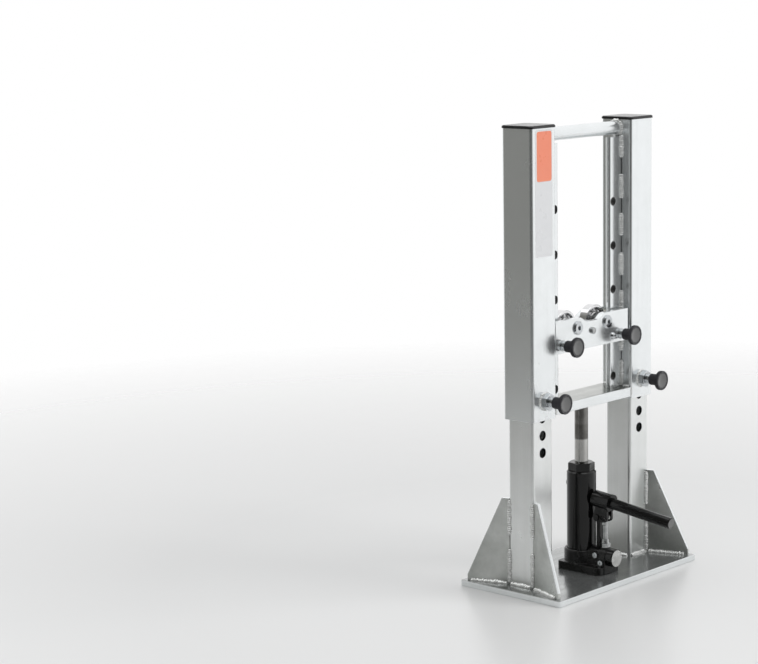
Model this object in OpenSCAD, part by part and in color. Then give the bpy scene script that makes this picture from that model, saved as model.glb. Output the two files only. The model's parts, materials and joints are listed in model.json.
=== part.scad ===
// Cable drum jack: a welded stand with two telescoping posts, a bottle jack that lifts the
// sliding frame, and a roller carriage that is pinned into the frame's drilled rails.
// Millimetres, +Z up. The origin is the centre of the base plate's underside. X runs from post
// to post, and the operator's side with the plunger knobs and the pump handle is -Y.

/* [Base] */
// Length of the base plate, post to post
base_x = 366; // [340:2:420]
// Depth of the base plate
base_y = 202; // [180:2:240]
// Thickness of the base plate
base_t = 10; // [6:1:16]
// Height of the corner gussets
gusset_h = 141; // [100:1:160]
// Thickness of the gussets
gusset_t = 6; // [4:0.5:10]
// Length of a gusset's level top edge
gusset_top = 13; // [6:1:20]
// Height of a gusset's upright outer end
gusset_lip = 10; // [5:1:20]
// Distance of a gusset's outer end from the plate's edges
gusset_edge = 8; // [4:1:14]

/* [Posts] */
// Distance between the centres of the two posts
post_pitch = 257; // [250:1:266]
// Outer width of the square posts
post_w = 50; // [46:1:54]
// Wall of the posts
post_wall = 4; // [3:0.5:6]
// Outer corner radius of the posts
post_r = 5; // [3:0.5:8]
// Length of the posts above the base plate
post_h = 550; // [480:5:600]
// Diameter of the lock holes in the posts
post_hole_d = 16; // [15.5:0.5:18]
// Spacing of the lock holes
post_hole_pitch = 28; // [24:1:28]
// Number of lock holes in each post
post_holes = 5; // [4:1:7]
// Height of the lowest lock hole above the base plate
post_first_hole = 217; // [214:0.5:240]

/* [Lifting frame] */
// Wall of the outer sleeves
sleeve_wall = 4; // [3:0.5:6]
// Clearance between post and sleeve on each side
sleeve_gap = 1; // [0.6:0.1:1.6]
// Outer corner radius of the sleeves
sleeve_r = 5; // [4.5:0.5:7]
// Length of the sleeves
sleeve_len = 460; // [440:5:520]
// Lock hole that the frame plungers face at rest, counted from 0 at the bottom
post_rest_hole = 3; // [2:1:3]
// Height of the frame plungers above the sleeves' lower end
plunger_up = 31; // [28:0.5:44]
// Thickness of the end caps' plates
cap_t = 4.5; // [3:0.5:6]
// Overhang of the end caps beyond the sleeves
cap_over = 1.5; // [0:0.5:3]
// Height of the bevel round the end caps' tops
cap_bevel = 1.5; // [0.5:0.5:2.5]
// Depth of the end caps' skirts inside the sleeves
cap_skirt = 12; // [8:1:20]
// Wall of the end caps' skirts
cap_wall = 2; // [1.5:0.5:3]
// Thickness of the cross bar
bar_t = 16; // [12:1:20]
// Height of the cross bar's underside above the sleeves' lower end
bar_up = 4; // [0:1:10]
// Diameter of the top grip bar
grip_d = 22; // [18:1:30]
// Bore of the top grip bar
grip_bore = 17; // [10:1:17]
// Distance of the grip's axis below the sleeves' top
grip_drop = 13.5; // [12:0.5:30]

/* [Rails] */
// Width of the rails
rail_w = 32; // [30:0.5:33]
// Thickness of the rails
rail_t = 10; // [8:0.5:12]
// Distance of the rails' front behind the sleeves' front
rail_set = 19.5; // [18:0.5:22]
// Diameter of the rail holes
rail_hole_d = 14; // [13.5:0.5:15]
// Distance of the hole line from the rails' free edge
rail_hole_in = 10; // [9.5:0.5:13]
// Spacing of the rail holes
rail_pitch = 72; // [68:1:76]
// Number of holes in each rail
rail_holes = 5; // [4:1:5]
// Height of the lowest rail hole above the cross bar
rail_first = 20; // [18:1:30]
// Gap between the rails' upper end and the grip bar
rail_top_gap = 3; // [1:1:10]

/* [Carriage] */
// Rail hole that the carriage plungers face at rest, counted from 0 at the bottom
rail_rest_hole = 1; // [1:1:3]
// Height of the carriage plates
plate_h = 52; // [50:1:60]
// Thickness of the carriage plates
plate_t = 8.5; // [7:0.5:10]
// Distance of the front plate's face behind the sleeves' front
plate_set = 4; // [2:0.5:5]
// Gap between the plates' ends and the sleeves
plate_end_gap = 3; // [2:0.5:4]
// Height of the carriage plungers above the plates' lower edge
plate_pin_up = 12; // [11:0.5:14]
// Width of the spindle notch at the plates' upper edge
notch_w = 66; // [56:1:72]
// Depth of the spindle notch
notch_depth = 9; // [4:0.5:9]
// Outer diameter of the roller bearings
roller_d = 52; // [48:0.5:52]
// Width of the roller bearings
roller_w = 15; // [13:0.5:16]
// Bore of the roller bearings
roller_bore = 20; // [18:0.5:22]
// Thickness of the bearing rings, each
ring_t = 4.6; // [4:0.2:5]
// Number of balls in each bearing
ball_count = 8; // [6:1:9]
// Gap between the rollers and the rails' free edges
roller_side_gap = 1.5; // [1:0.1:4]
// Height of the roller axes above the plates' lower edge
roller_up = 36; // [34:0.5:38]
// Distance of the rollers behind the front plate
roller_back = 14.5; // [14.5:0.5:16]
// Width of the gap between the rollers and the rear plate
roller_rear = 2; // [1.5:0.5:5]
// Diameter of the axle bolts
axle_d = 12; // [10:0.5:14]
// Diameter of the axle bolts' heads
axle_head_d = 22; // [20:0.5:24]
// Diameter of the bushes' shoulders and washers beside the bearings
axle_shoulder_d = 27; // [25:0.5:28]
// Diameter of the edge guides
guide_d = 24; // [20:0.5:25]
// Height of the edge guides above the plates' lower edge
guide_up = 11; // [10:0.5:12]
// Length of the edge guides
guide_len = 13.5; // [12:0.5:13.5]
// Diameter of the edge guides' dome screws
guide_screw_d = 8; // [6:0.5:10]
// Height of the centre bolt above the plates' lower edge
centre_up = 27; // [25:0.5:32]
// Diameter of the centre bolt
centre_d = 6; // [5:0.5:8]
// Width of the slide pads
pad_w = 22; // [20:0.5:22]
// Height of the front slide pads
front_pad_h = 26; // [22:1:28]
// Height of the rear slide pads
rear_pad_h = 42; // [30:1:46]

/* [Plungers] */
// Diameter of the frame plungers' pins
frame_pin_d = 15; // [14:0.5:15]
// Diameter of the carriage plungers' pins
rail_pin_d = 13; // [12:0.5:13]
// Length of the pins' full diameter
pin_len = 5; // [4:0.5:7]
// Diameter of the plungers' stems
stem_d = 8; // [6:0.5:8]
// Travel of the plungers
plunger_travel = 7; // [5:0.5:7]
// Width across flats of the frame plungers' weld nuts
boss_af = 24; // [22:1:30]
// Thickness of the weld nuts
boss_t = 12; // [10:0.5:16]
// Diameter of the guide bushes' screwed ends
bush_plug_d = 18; // [16.5:0.5:20]
// Depth of the guide bushes' screwed ends
bush_plug_h = 4; // [3:0.5:5]
// Diameter of the guide bushes' necks
neck_d = 15; // [14.5:0.5:16]
// Diameter of the spring chamber in the guide bushes
chamber_d = 12.4; // [12:0.1:12.6]
// Thickness of the guide bushes' end walls
neck_end = 2.6; // [2:0.2:4]
// Diameter of the plunger springs' wire
spring_wire = 1.4; // [1:0.1:1.6]
// Number of turns in the plunger springs
spring_turns = 5; // [4:1:6]
// Diameter of the knobs' collars
collar_d = 18.6; // [18:0.2:22]
// Diameter of the knobs' heads
knob_d = 32; // [28:1:40]
// Height of the knob faces above the plungers' seats
knob_out = 31; // [29:0.5:36]
// Depth of the dish in the knobs' faces
knob_dish = 2.6; // [1:0.2:3.4]

/* [Bottle jack] */
// Distance of the jack's axis in front of the stand's middle
jack_front = 3; // [0:0.5:8]
// Width of the jack's base flange
flange_w = 58; // [54:1:70]
// Thickness of the base flange
flange_t = 13; // [10:1:16]
// Distance of the flange's rear edge from the jack's axis
flange_rear = 30; // [29:1:40]
// Distance of the flange's front edge from the jack's axis
flange_front = 57; // [50:1:57]
// Diameter of the collar round the reservoir
collar_jack_d = 57; // [54:1:60]
// Height of the collar above the base plate
collar_h = 35; // [32:1:40]
// Outer diameter of the reservoir
reservoir_d = 48; // [44:0.5:50]
// Wall of the reservoir
reservoir_wall = 2.5; // [2:0.5:4]
// Height of the reservoir's top above the base plate
reservoir_top = 160; // [157:1:170]
// Height of the cylinder's floor above the base plate
cylinder_floor = 30; // [27:0.5:30.5]
// Bore of the pressure cylinder
cylinder_bore = 26; // [25:0.5:28]
// Wall of the pressure cylinder
cylinder_wall = 3; // [2:0.5:4]
// Diameter of the ram
ram_d = 22; // [20:0.5:23]
// Height of the ram's piston head
ram_head_h = 10; // [8:0.5:11]
// Depth of the top nut's spigot inside the reservoir
nut_spigot = 4; // [3:0.5:4]
// Width across flats of the top nut
nut_af = 38; // [32:1:40]
// Height of the top nut above the reservoir
nut_h = 18; // [14:0.5:20]
// Thickness of the top nut's flange
nut_flange = 4; // [3:0.5:6]

/* [Pump] */
// Distance of the pump's axis in front of the jack's axis
pump_front = 48.5; // [48:0.5:52]
// Distance of the lever's fulcrum behind the pump's axis
lever_arm = 12; // [11.5:0.5:12.5]
// Height of the fulcrum above the base plate
fulcrum_up = 91.5; // [86:0.5:100]
// Diameter of the fulcrum pin
fulcrum_d = 8; // [6:0.5:8]
// Diameter of the piston pin
piston_pin_d = 6; // [5:0.5:6]
// Diameter of the pump piston
piston_d = 10; // [9.5:0.5:11]
// Width of the valve block
block_w = 32; // [31:0.5:36]
// Diameter of the valve block's round top
block_d = 30; // [28:0.5:30]
// Height of the valve block's round axis above the base plate
block_up = 26.8; // [25:0.2:28]
// Distance of the valve block's front from the jack's axis
block_front = 58.4; // [57:0.2:60]
// Height of the pump barrel's seat above the base plate
barrel_seat = 42.5; // [42:0.5:46]
// Width across flats of the pump barrel
barrel_af = 15; // [13:0.5:15]
// Height of the pump barrel above its seat
barrel_h = 14; // [12:0.5:18]
// Width of the lever's fork
fork_w = 16; // [15:0.5:20]
// Width of the fulcrum post and of the piston's eye
tongue_w = 7; // [6:0.5:8]
// Outer diameter of the handle socket
socket_d = 27; // [25:0.5:29]
// Height of the socket's axis above the fulcrum, square to the handle
socket_up = 28.5; // [27:0.5:32]
// Length of the socket in front of the fulcrum
socket_front = 22; // [20:0.5:30]
// Length of the socket behind the fulcrum
socket_rear = 12; // [8:0.5:12]
// Length of the raised lip at the socket's mouth
socket_lip = 3; // [2:0.5:6]
// Wall of the fork's ears round their pins
ear_wall = 3.2; // [2.6:0.1:4]
// Slope of the handle at rest, in degrees
handle_slope = 7.4; // [4:0.2:10]
// Diameter of the handle
handle_d = 18; // [16:0.5:20]
// Distance of the handle's end in front of the fulcrum
handle_front = 139; // [110:1:180]
// Diameter of the release knob
release_d = 30; // [26:1:30]
// Thickness of the release knob
release_t = 12.6; // [10:0.2:18]
// Diameter of the release screw
release_screw_d = 11; // [9:0.5:12]
// Length of the release screw inside the valve block
release_len = 26; // [20:1:28]

/* [Clearances] */
// Radial clearance of a shaft that turns or slides in its bore
run_fit = 0.08; // [0.04:0.01:0.1]
// Radial clearance of a bolt, bush or pin that is fixed in its hole
bolt_fit = 0.1; // [0.05:0.05:0.3]
// Clearance between the slide pads or edge guides and the rails
slide_gap = 0.4; // [0.2:0.1:0.6]
// Clearance between a parked pin and the post that it locks
pin_gap = 0.5; // [0.3:0.1:0.6]
// Clearance round a knob's collar, a spring or a free end
free_gap = 0.3; // [0.2:0.1:0.4]

/* [Hidden] */
$fn = 64;
eps = 0.01;
deep = 1000;

base_top = base_t;
post_x = post_pitch / 2;
sleeve_in = post_w + 2 * sleeve_gap;
sleeve_w = sleeve_in + 2 * sleeve_wall;
sleeve_face = post_x - sleeve_w / 2;
front_y = -sleeve_w / 2;

// Heights of the lifting frame at rest
frame_pin_z = base_top + post_first_hole + post_rest_hole * post_hole_pitch;
sleeve_z = frame_pin_z - plunger_up;
sleeve_top = sleeve_z + sleeve_len;
bar_z = sleeve_z + bar_up;
bar_top = bar_z + bar_t;
grip_z = sleeve_top - grip_drop;
lift_down = post_rest_hole * post_hole_pitch;
lift_up = post_hole_pitch;

// Places on the rails
rail_y = front_y + rail_set;
rail_free = sleeve_face - rail_w;
rail_hole_x = rail_free + rail_hole_in;
rail_first_z = bar_top + rail_first;
rail_top = grip_z - grip_d / 2 - rail_top_gap;

// Places on the carriage
carriage_pin_z = rail_first_z + rail_rest_hole * rail_pitch;
plate_z = carriage_pin_z - plate_pin_up;
plate_half = sleeve_face - plate_end_gap;
plate_y = front_y + plate_set;
plate_back = plate_y + plate_t;
roller_y = plate_back + roller_back;
rear_y = roller_y + roller_w + roller_rear;
roller_x = rail_free - roller_side_gap - roller_d / 2;
roller_z = plate_z + roller_up;
ball_pitch_r = (roller_d + roller_bore) / 4;
ball_track = (roller_d - roller_bore) / 2 - 2 * ring_t;
ball_r = ball_track / 2 + 1;
guide_x = rail_free - slide_gap - guide_d / 2;
guide_z = plate_z + guide_up;
centre_z = plate_z + centre_up;
pad_shift = 3.5;
pad_x = rail_free + (rail_w - pad_w) / 2 - pad_shift;
nut_wide = 1.6;
nut_high = 0.8;
bolt_end = 2;

// Places along a plunger, measured inwards from its seat
neck_len = plunger_travel + 2 * free_gap;
stem_out = knob_out - 7;
chamber_out = neck_len - neck_end;
frame_seat = front_y - boss_t;
frame_reach = boss_t + sleeve_wall + sleeve_gap - pin_gap;
carriage_seat = plate_y;
carriage_reach = rail_y - slide_gap - plate_y;

// Places on the jack
jack_y = -jack_front;
floor_z = base_top + cylinder_floor;
reservoir_z = base_top + reservoir_top;
cylinder_top = reservoir_z - nut_spigot;
ram_foot = floor_z + lift_down + (cylinder_top - floor_z - ram_head_h - lift_down - lift_up) / 2;
ram_head_d = cylinder_bore - 2 * run_fit;
ram_seal_h = 0.4 * ram_head_h;
ram_seal_in = 2.5;
pump_y = jack_y - pump_front;
fulcrum_y = pump_y + lever_arm;
fulcrum_z = base_top + fulcrum_up;
block_z = base_top + block_up;
block_y = jack_y - block_front;
barrel_z = base_top + barrel_seat;
barrel_seat_d = barrel_af + 3;
barrel_out_d = piston_d + 2.4;
passage_z = block_z + release_screw_d / 2 + 1.2;
plug_d = 8;
plug_len = 6;
plug_low = [7.4, 5.6];
plug_high = [18.4, 3.5];
plug_places = [
  [block_y + plug_low[0], base_top + flange_t + plug_low[1]],
  [block_y + plug_high[0], block_z + plug_high[1]]
];
oil_plug_z = floor_z + 0.85 * (reservoir_z - floor_z);
lever_swing = 35;
pin_drift = lever_arm / cos(lever_swing) - lever_arm;
piston_drop = lever_arm * tan(lever_swing);
piston_foot = passage_z + piston_drop + 1;
pump_seal_h = 2.4;
slot_room = 0.55;
fork_slot = tongue_w + 2 * free_gap;
eye_r = piston_d / 2 + 0.5;
eye_tail = 8;
flat_len = 2 * eye_r + eye_tail;

zinc = "silver";
zinc_dark = "darkgray";
chrome = "gainsboro";
black = [0.09, 0.09, 0.10];
plastic = [0.06, 0.06, 0.06];
rubber = [0.12, 0.12, 0.12];
nylon = "ivory";

// Shapes that repeat

// Square of width w with corners of radius r
module round_square(w, r) {
  round_rect(w, w, r);
}

// Rectangle of w by h with corners of radius r
module round_rect(w, h, r) {
  square([w - 2 * r, h], center = true);
  square([w, h - 2 * r], center = true);
  for (sx = [-1, 1], sy = [-1, 1])
    translate([sx * (w / 2 - r), sy * (h / 2 - r)]) circle(r);
}

// Round bar of diameter d along Y, from y0 to y1
module rod_y(d, y0, y1) {
  translate([0, y0, 0]) rotate([-90, 0, 0]) cylinder(d = d, h = y1 - y0);
}

// Round bar of diameter d along X, centred, of the given length
module rod_x(d, length) {
  rotate([0, 90, 0]) cylinder(d = d, h = length, center = true);
}

// Hexagonal bar along Y with a corner on top, of width af across its flats
module hex_y(af, y0, y1) {
  translate([0, y0, 0]) rotate([-90, 0, 0]) rotate([0, 0, 90])
    cylinder(d = af / cos(30), h = y1 - y0, $fn = 6);
}

// Children turned so that a profile drawn upwards points to +Y
module facing_y() {
  rotate([-90, 0, 0]) children();
}

// Its children at X = -x and X = x
module pair(x) {
  for (s = [-1, 1]) translate([s * x, 0, 0]) children();
}

// Square tube standing on z = 0
module square_tube(w, wall, r, h) {
  difference() {
    linear_extrude(h) round_square(w, r);
    translate([0, 0, -1]) linear_extrude(h + 2) round_square(w - 2 * wall, max(r - wall, 0.5));
  }
}

// Hexagon nut along Y with its bore
module nut_y(d, y0) {
  difference() {
    hex_y(nut_wide * d, y0, y0 + nut_high * d);
    rod_y(d + 2 * bolt_fit, y0 - 1, y0 + nut_high * d + 1);
  }
}

// Points of one ring of a helix's round wire
function wire_ring(r, wire, rise, a, sides) = [
  for (j = [0 : sides - 1])
    let (b = 360 * j / sides, q = r + wire / 2 * cos(b))
      [q * cos(a), rise + wire / 2 * sin(b), q * sin(a)]
];

// Helical spring along Y between y0 and y1
module coil_y(d, wire, y0, y1, turns) {
  sides = 8;
  steps = turns * 14;
  length = y1 - y0 - wire;
  points = [
    for (i = [0 : steps])
      each wire_ring(d / 2, wire, y0 + wire / 2 + length * i / steps, 360 * turns * i / steps, sides)
  ];
  skin = [
    for (i = [0 : steps - 1], j = [0 : sides - 1])
      [i * sides + j, i * sides + (j + 1) % sides, (i + 1) * sides + (j + 1) % sides, (i + 1) * sides + j]
  ];
  start = [for (j = [sides - 1 : -1 : 0]) j];
  finish = [for (j = [0 : sides - 1]) steps * sides + j];
  polyhedron(points, concat(skin, [start, finish]));
}

// Stand

module base_plate() {
  color(zinc) translate([0, 0, base_t / 2]) cube([base_x, base_y, base_t], center = true);
}

module post(side) {
  color(zinc) translate([side * post_x, 0, base_top]) difference() {
    square_tube(post_w, post_wall, post_r, post_h);
    for (i = [0 : post_holes - 1])
      translate([0, 0, post_first_hole + i * post_hole_pitch])
        rod_y(post_hole_d, -post_w, -post_w / 2 + post_wall + post_r / 2);
  }
}

// Gussets from the posts' outer corners towards the plate's corners, each drawn in its own plane
module gussets() {
  root = [post_x + post_w / 2 - post_r, post_w / 2 - post_r];
  tip = [base_x / 2 - gusset_edge, base_y / 2 - gusset_edge];
  run = norm(tip - root);
  turn = atan2(tip[1] - root[1], tip[0] - root[0]);
  color(zinc_dark) for (sx = [-1, 1], sy = [-1, 1])
    quarter(sx, sy) translate([root[0], root[1], base_top]) rotate([90, 0, turn])
      translate([0, 0, -gusset_t / 2]) linear_extrude(gusset_t) difference() {
        polygon([
          [0, 0], [run, 0], [run, gusset_lip], [post_r + gusset_top, gusset_h], [0, gusset_h]
        ]);
        translate([-1, -1]) square([1 + post_r + bolt_fit, gusset_h + 2]);
      }
}

// Its children in the quarter of the plate that sx and sy name
module quarter(sx, sy) {
  mirror([sx < 0 ? 1 : 0, 0, 0]) mirror([0, sy < 0 ? 1 : 0, 0]) children();
}

// Bottle jack

module jack_base() {
  depth = flange_rear + flange_front;
  color(black) difference() {
    union() {
      translate([0, jack_y + (flange_rear - flange_front) / 2, base_top])
        linear_extrude(flange_t) round_rect(flange_w, depth, 8);
      translate([0, jack_y, base_top]) cylinder(d = collar_jack_d, h = collar_h - 2);
      translate([0, jack_y, base_top + collar_h - 2])
        cylinder(d1 = collar_jack_d, d2 = collar_jack_d - 4, h = 2);
      translate([-block_w / 2, block_y, base_top]) cube([block_w, block_front, block_up]);
      translate([0, 0, block_z]) rod_y(block_d, block_y, jack_y);
      translate([0, pump_y, block_z]) cylinder(d = barrel_seat_d, h = barrel_z - block_z);
      for (p = plug_places) translate([-block_w / 2, p[0], p[1]]) rotate([0, 90, 0])
        cylinder(d = plug_d + 3, h = block_w / 3);
    }
    translate([0, jack_y, floor_z]) cylinder(d = reservoir_d + 2 * bolt_fit, h = deep);
    translate([0, pump_y, barrel_z]) cylinder(d = barrel_seat_d, h = deep);
    translate([0, pump_y, passage_z]) cylinder(d = barrel_out_d + 2 * bolt_fit, h = deep);
    translate([0, 0, block_z]) rod_y(release_screw_d + 2 * run_fit, block_y - 1, block_y + release_len + 1);
    for (p = plug_places) translate([-block_w / 2, p[0], p[1]]) rotate([0, 90, 0])
      cylinder(d = plug_d + 2 * bolt_fit, h = 2 * (plug_len + bolt_fit), center = true);
    translate([0, fulcrum_y, passage_z]) linear_extrude(deep) square(tongue_w + 2 * bolt_fit, center = true);
  }
}

module jack_reservoir() {
  color(black) translate([0, jack_y, floor_z]) difference() {
    cylinder(d = reservoir_d, h = reservoir_z - floor_z);
    translate([0, 0, -1]) cylinder(d = reservoir_d - 2 * reservoir_wall, h = deep);
    translate([0, 0, oil_plug_z - floor_z])
      rod_y(plug_d + 2 * bolt_fit, reservoir_d / 2 - 2 * reservoir_wall, reservoir_d);
  }
}

module oil_plug() {
  r = reservoir_d / 2;
  color(rubber) translate([0, jack_y, oil_plug_z]) {
    rod_y(plug_d, r - reservoir_wall, r + 1);
    rod_y(plug_d + 4, r + free_gap, r + 3);
  }
}

module jack_cylinder() {
  color(zinc_dark) translate([0, jack_y, floor_z]) difference() {
    cylinder(d = cylinder_bore + 2 * cylinder_wall, h = cylinder_top - floor_z);
    translate([0, 0, -1]) cylinder(d = cylinder_bore, h = deep);
  }
}

module jack_top_nut() {
  color(black) translate([0, jack_y, reservoir_z]) difference() {
    union() {
      translate([0, 0, -nut_spigot])
        cylinder(d = reservoir_d - 2 * reservoir_wall - 2 * bolt_fit, h = nut_spigot + eps);
      cylinder(d = reservoir_d, h = nut_flange / 2);
      translate([0, 0, nut_flange / 2])
        cylinder(d1 = reservoir_d, d2 = reservoir_d - nut_flange, h = nut_flange / 2);
      intersection() {
        rotate([0, 0, 15]) cylinder(d = nut_af / cos(30), h = nut_h, $fn = 6);
        union() {
          cylinder(d = 2 * nut_af, h = nut_h - 3);
          translate([0, 0, nut_h - 3]) cylinder(d1 = 1.3 * nut_af, d2 = nut_af - 1, h = 3);
        }
      }
    }
    translate([0, 0, -deep / 2]) cylinder(d = ram_d + 2 * run_fit, h = deep);
  }
}

module jack_ram() {
  color(chrome) translate([0, jack_y, ram_foot]) difference() {
    union() {
      cylinder(d = ram_head_d, h = ram_head_h);
      cylinder(d = ram_d, h = bar_z - ram_foot);
    }
    translate([0, 0, (ram_head_h - ram_seal_h) / 2]) difference() {
      cylinder(d = 2 * ram_head_d, h = ram_seal_h);
      translate([0, 0, -1]) cylinder(d = ram_head_d - 2 * ram_seal_in, h = deep);
    }
  }
}

module ram_seal() {
  color(rubber) translate([0, jack_y, ram_foot + (ram_head_h - ram_seal_h) / 2]) difference() {
    cylinder(d = ram_head_d, h = ram_seal_h);
    translate([0, 0, -1]) cylinder(d = ram_head_d - 2 * ram_seal_in, h = deep);
  }
}

module pump_barrel() {
  color(zinc) translate([0, pump_y, barrel_z]) difference() {
    union() {
      translate([0, 0, passage_z - barrel_z])
        cylinder(d = barrel_out_d, h = barrel_z - passage_z + barrel_h);
      cylinder(d = barrel_af / cos(30), h = 0.5 * barrel_h, $fn = 6);
      translate([0, 0, 0.5 * barrel_h]) cylinder(d1 = barrel_af - 1, d2 = barrel_out_d, h = 0.4 * barrel_h);
    }
    translate([0, 0, -deep / 2]) cylinder(d = piston_d + 2 * run_fit, h = deep);
  }
}

module fulcrum_post() {
  color(black) translate([0, fulcrum_y, 0]) difference() {
    union() {
      translate([0, 0, passage_z]) linear_extrude(fulcrum_z - passage_z) square(tongue_w, center = true);
      translate([0, 0, fulcrum_z]) rod_x(fulcrum_d + 5, tongue_w);
    }
    translate([0, 0, fulcrum_z]) rod_x(fulcrum_d + 2 * run_fit, 2 * tongue_w);
  }
}

module valve_plugs() {
  color(zinc) for (p = plug_places)
    translate([-block_w / 2, p[0], p[1]]) rotate([0, -90, 0]) difference() {
      union() {
        translate([0, 0, -plug_len]) cylinder(d = plug_d, h = plug_len);
        cylinder(d = plug_d + 2, h = 2, $fn = 6);
      }
      translate([0, 0, 0.8]) cylinder(d = plug_d / 2, h = 2, $fn = 6);
    }
}

// Pump lever and its mechanism

// Children placed at the fulcrum
module at_fulcrum() {
  translate([0, fulcrum_y, fulcrum_z]) children();
}

// Children placed on the handle's axis, with +Z out along the handle
module on_handle() {
  at_fulcrum() rotate([handle_slope, 0, 0]) translate([0, 0, socket_up]) rotate([90, 0, 0]) children();
}

// Socket for the handle, on a fork whose ears straddle the fulcrum post and the piston's eye
module pump_lever() {
  ear_r = fulcrum_d / 2 + ear_wall;
  toe_r = piston_pin_d / 2 + slot_room + ear_wall;
  toe = lever_arm + pin_drift;
  low = -max(ear_r, toe_r) - 1;
  color(black) difference() {
    union() {
      on_handle() {
        translate([0, 0, -socket_rear]) cylinder(d = socket_d, h = socket_front + socket_rear);
        translate([0, 0, socket_front - socket_lip]) cylinder(d = socket_d + 2, h = socket_lip);
      }
      at_fulcrum() rotate([90, 0, 90]) linear_extrude(fork_w, center = true) hull() {
        circle(ear_r);
        translate([-toe, 0]) circle(toe_r);
        rotate(handle_slope) translate([-toe - toe_r / 2, socket_up - socket_d / 2])
          square([toe + toe_r / 2 + ear_r / 2, socket_d / 4]);
      }
    }
    on_handle() translate([0, 0, -socket_rear + 4]) cylinder(d = handle_d + 2 * bolt_fit, h = deep);
    at_fulcrum() {
      translate([-fork_slot / 2, -deep / 2, low])
        cube([fork_slot, deep, socket_up - socket_d / 2 - low - 2]);
      rod_x(fulcrum_d + 2 * bolt_fit, 2 * fork_w);
      for (d = [lever_arm - slot_room, toe + slot_room])
        translate([0, -d, 0]) rod_x(piston_pin_d + 2 * slot_room, 2 * fork_w);
      translate([-fork_w, -toe - slot_room, -piston_pin_d / 2 - slot_room])
        cube([2 * fork_w, pin_drift + 2 * slot_room, piston_pin_d + 2 * slot_room]);
    }
  }
}

module pump_handle() {
  color(black) on_handle() translate([0, 0, -socket_rear + 4 + free_gap]) {
    length = handle_front + socket_rear - 4 - free_gap;
    cylinder(d = handle_d, h = length - 1.5);
    translate([0, 0, length - 1.5 - eps]) cylinder(d1 = handle_d, d2 = handle_d - 3, h = 1.5 + eps);
  }
}

module fulcrum_pin() {
  color(zinc) at_fulcrum() {
    rod_x(fulcrum_d, fork_w + 2);
    for (s = [-1, 1]) translate([s * (fork_w / 2 + 1), 0, 0]) rod_x(fulcrum_d + 2, 1.4);
  }
}

module pump_piston() {
  color(chrome) translate([0, pump_y, 0]) difference() {
    translate([0, 0, piston_foot]) cylinder(d = piston_d, h = fulcrum_z + eye_r - piston_foot);
    pair(tongue_w / 2 + piston_d / 2) translate([0, 0, fulcrum_z + eye_r + 1 - flat_len / 2])
      cube([piston_d, 2 * piston_d, flat_len], center = true);
    translate([0, 0, fulcrum_z]) rod_x(piston_pin_d + 2 * bolt_fit, 2 * piston_d);
    translate([0, 0, piston_foot + pump_seal_h]) difference() {
      cylinder(d = 2 * piston_d, h = pump_seal_h);
      translate([0, 0, -1]) cylinder(d = piston_d - pump_seal_h, h = deep);
    }
  }
}

module pump_seal() {
  color(rubber) translate([0, pump_y, piston_foot + pump_seal_h]) difference() {
    cylinder(d = piston_d, h = pump_seal_h);
    translate([0, 0, -1]) cylinder(d = piston_d - pump_seal_h, h = deep);
  }
}

module piston_pin() {
  color(zinc) translate([0, pump_y, fulcrum_z]) rod_x(piston_pin_d, fork_w - 1);
}

module release_screw() {
  color(zinc) translate([0, 0, block_z]) {
    rod_y(release_screw_d, block_y - release_t / 2, block_y + release_len - 4);
    translate([0, block_y + release_len - 4 - eps, 0]) facing_y()
      cylinder(d1 = release_screw_d, d2 = 3, h = 4);
  }
}

module release_knob() {
  back = block_y - 2 * free_gap;
  color(black) translate([0, 0, block_z]) difference() {
    union() {
      rod_y(release_d, back - release_t + 1.5, back);
      translate([0, back - release_t, 0]) facing_y()
        cylinder(d1 = release_d - 3, d2 = release_d, h = 1.5 + eps);
    }
    rod_y(release_screw_d + 2 * bolt_fit, block_y - release_t / 2 - bolt_fit, block_y);
  }
}

// Lifting frame

module sleeve(side) {
  color(zinc) translate([side * post_x, 0, sleeve_z]) difference() {
    square_tube(sleeve_w, sleeve_wall, sleeve_r, sleeve_len);
    translate([0, 0, plunger_up]) rod_y(frame_pin_d + 2 * run_fit, -sleeve_w, -sleeve_in / 2 + sleeve_gap);
  }
}

module cap(side) {
  skirt_w = sleeve_in - 2 * bolt_fit;
  wide = sleeve_w + 2 * cap_over;
  color(plastic) translate([side * post_x, 0, sleeve_top]) {
    linear_extrude(cap_t - cap_bevel) round_square(wide, sleeve_r + cap_over);
    translate([0, 0, cap_t - cap_bevel]) linear_extrude(cap_bevel, scale = 1 - 2 * cap_bevel / wide)
      round_square(wide, sleeve_r + cap_over);
    translate([0, 0, -cap_skirt]) linear_extrude(cap_skirt + eps) difference() {
      round_square(skirt_w, max(sleeve_r - sleeve_wall, 1));
      square(skirt_w - 2 * cap_wall, center = true);
    }
  }
}

module cross_bar() {
  color(zinc) translate([-sleeve_face, front_y, bar_z]) cube([2 * sleeve_face, sleeve_w, bar_t]);
}

module top_grip() {
  color(zinc) translate([0, 0, grip_z]) difference() {
    rod_x(grip_d, 2 * sleeve_face);
    rod_x(grip_bore, 3 * sleeve_face);
  }
}

// Flat bar on a sleeve's inner face, its free edge fully round
module rail(side) {
  edge = rail_t / 2;
  color(zinc) mirror([side < 0 ? 1 : 0, 0, 0]) difference() {
    translate([0, rail_y, bar_top]) linear_extrude(rail_top - bar_top) {
      translate([rail_free + edge, 0]) square([rail_w - edge, rail_t]);
      translate([rail_free + edge, edge]) circle(edge);
    }
    for (i = [0 : rail_holes - 1]) translate([rail_hole_x, 0, rail_first_z + i * rail_pitch])
      rod_y(rail_hole_d, rail_y - 1, rail_y + rail_t + 1);
  }
}

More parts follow.
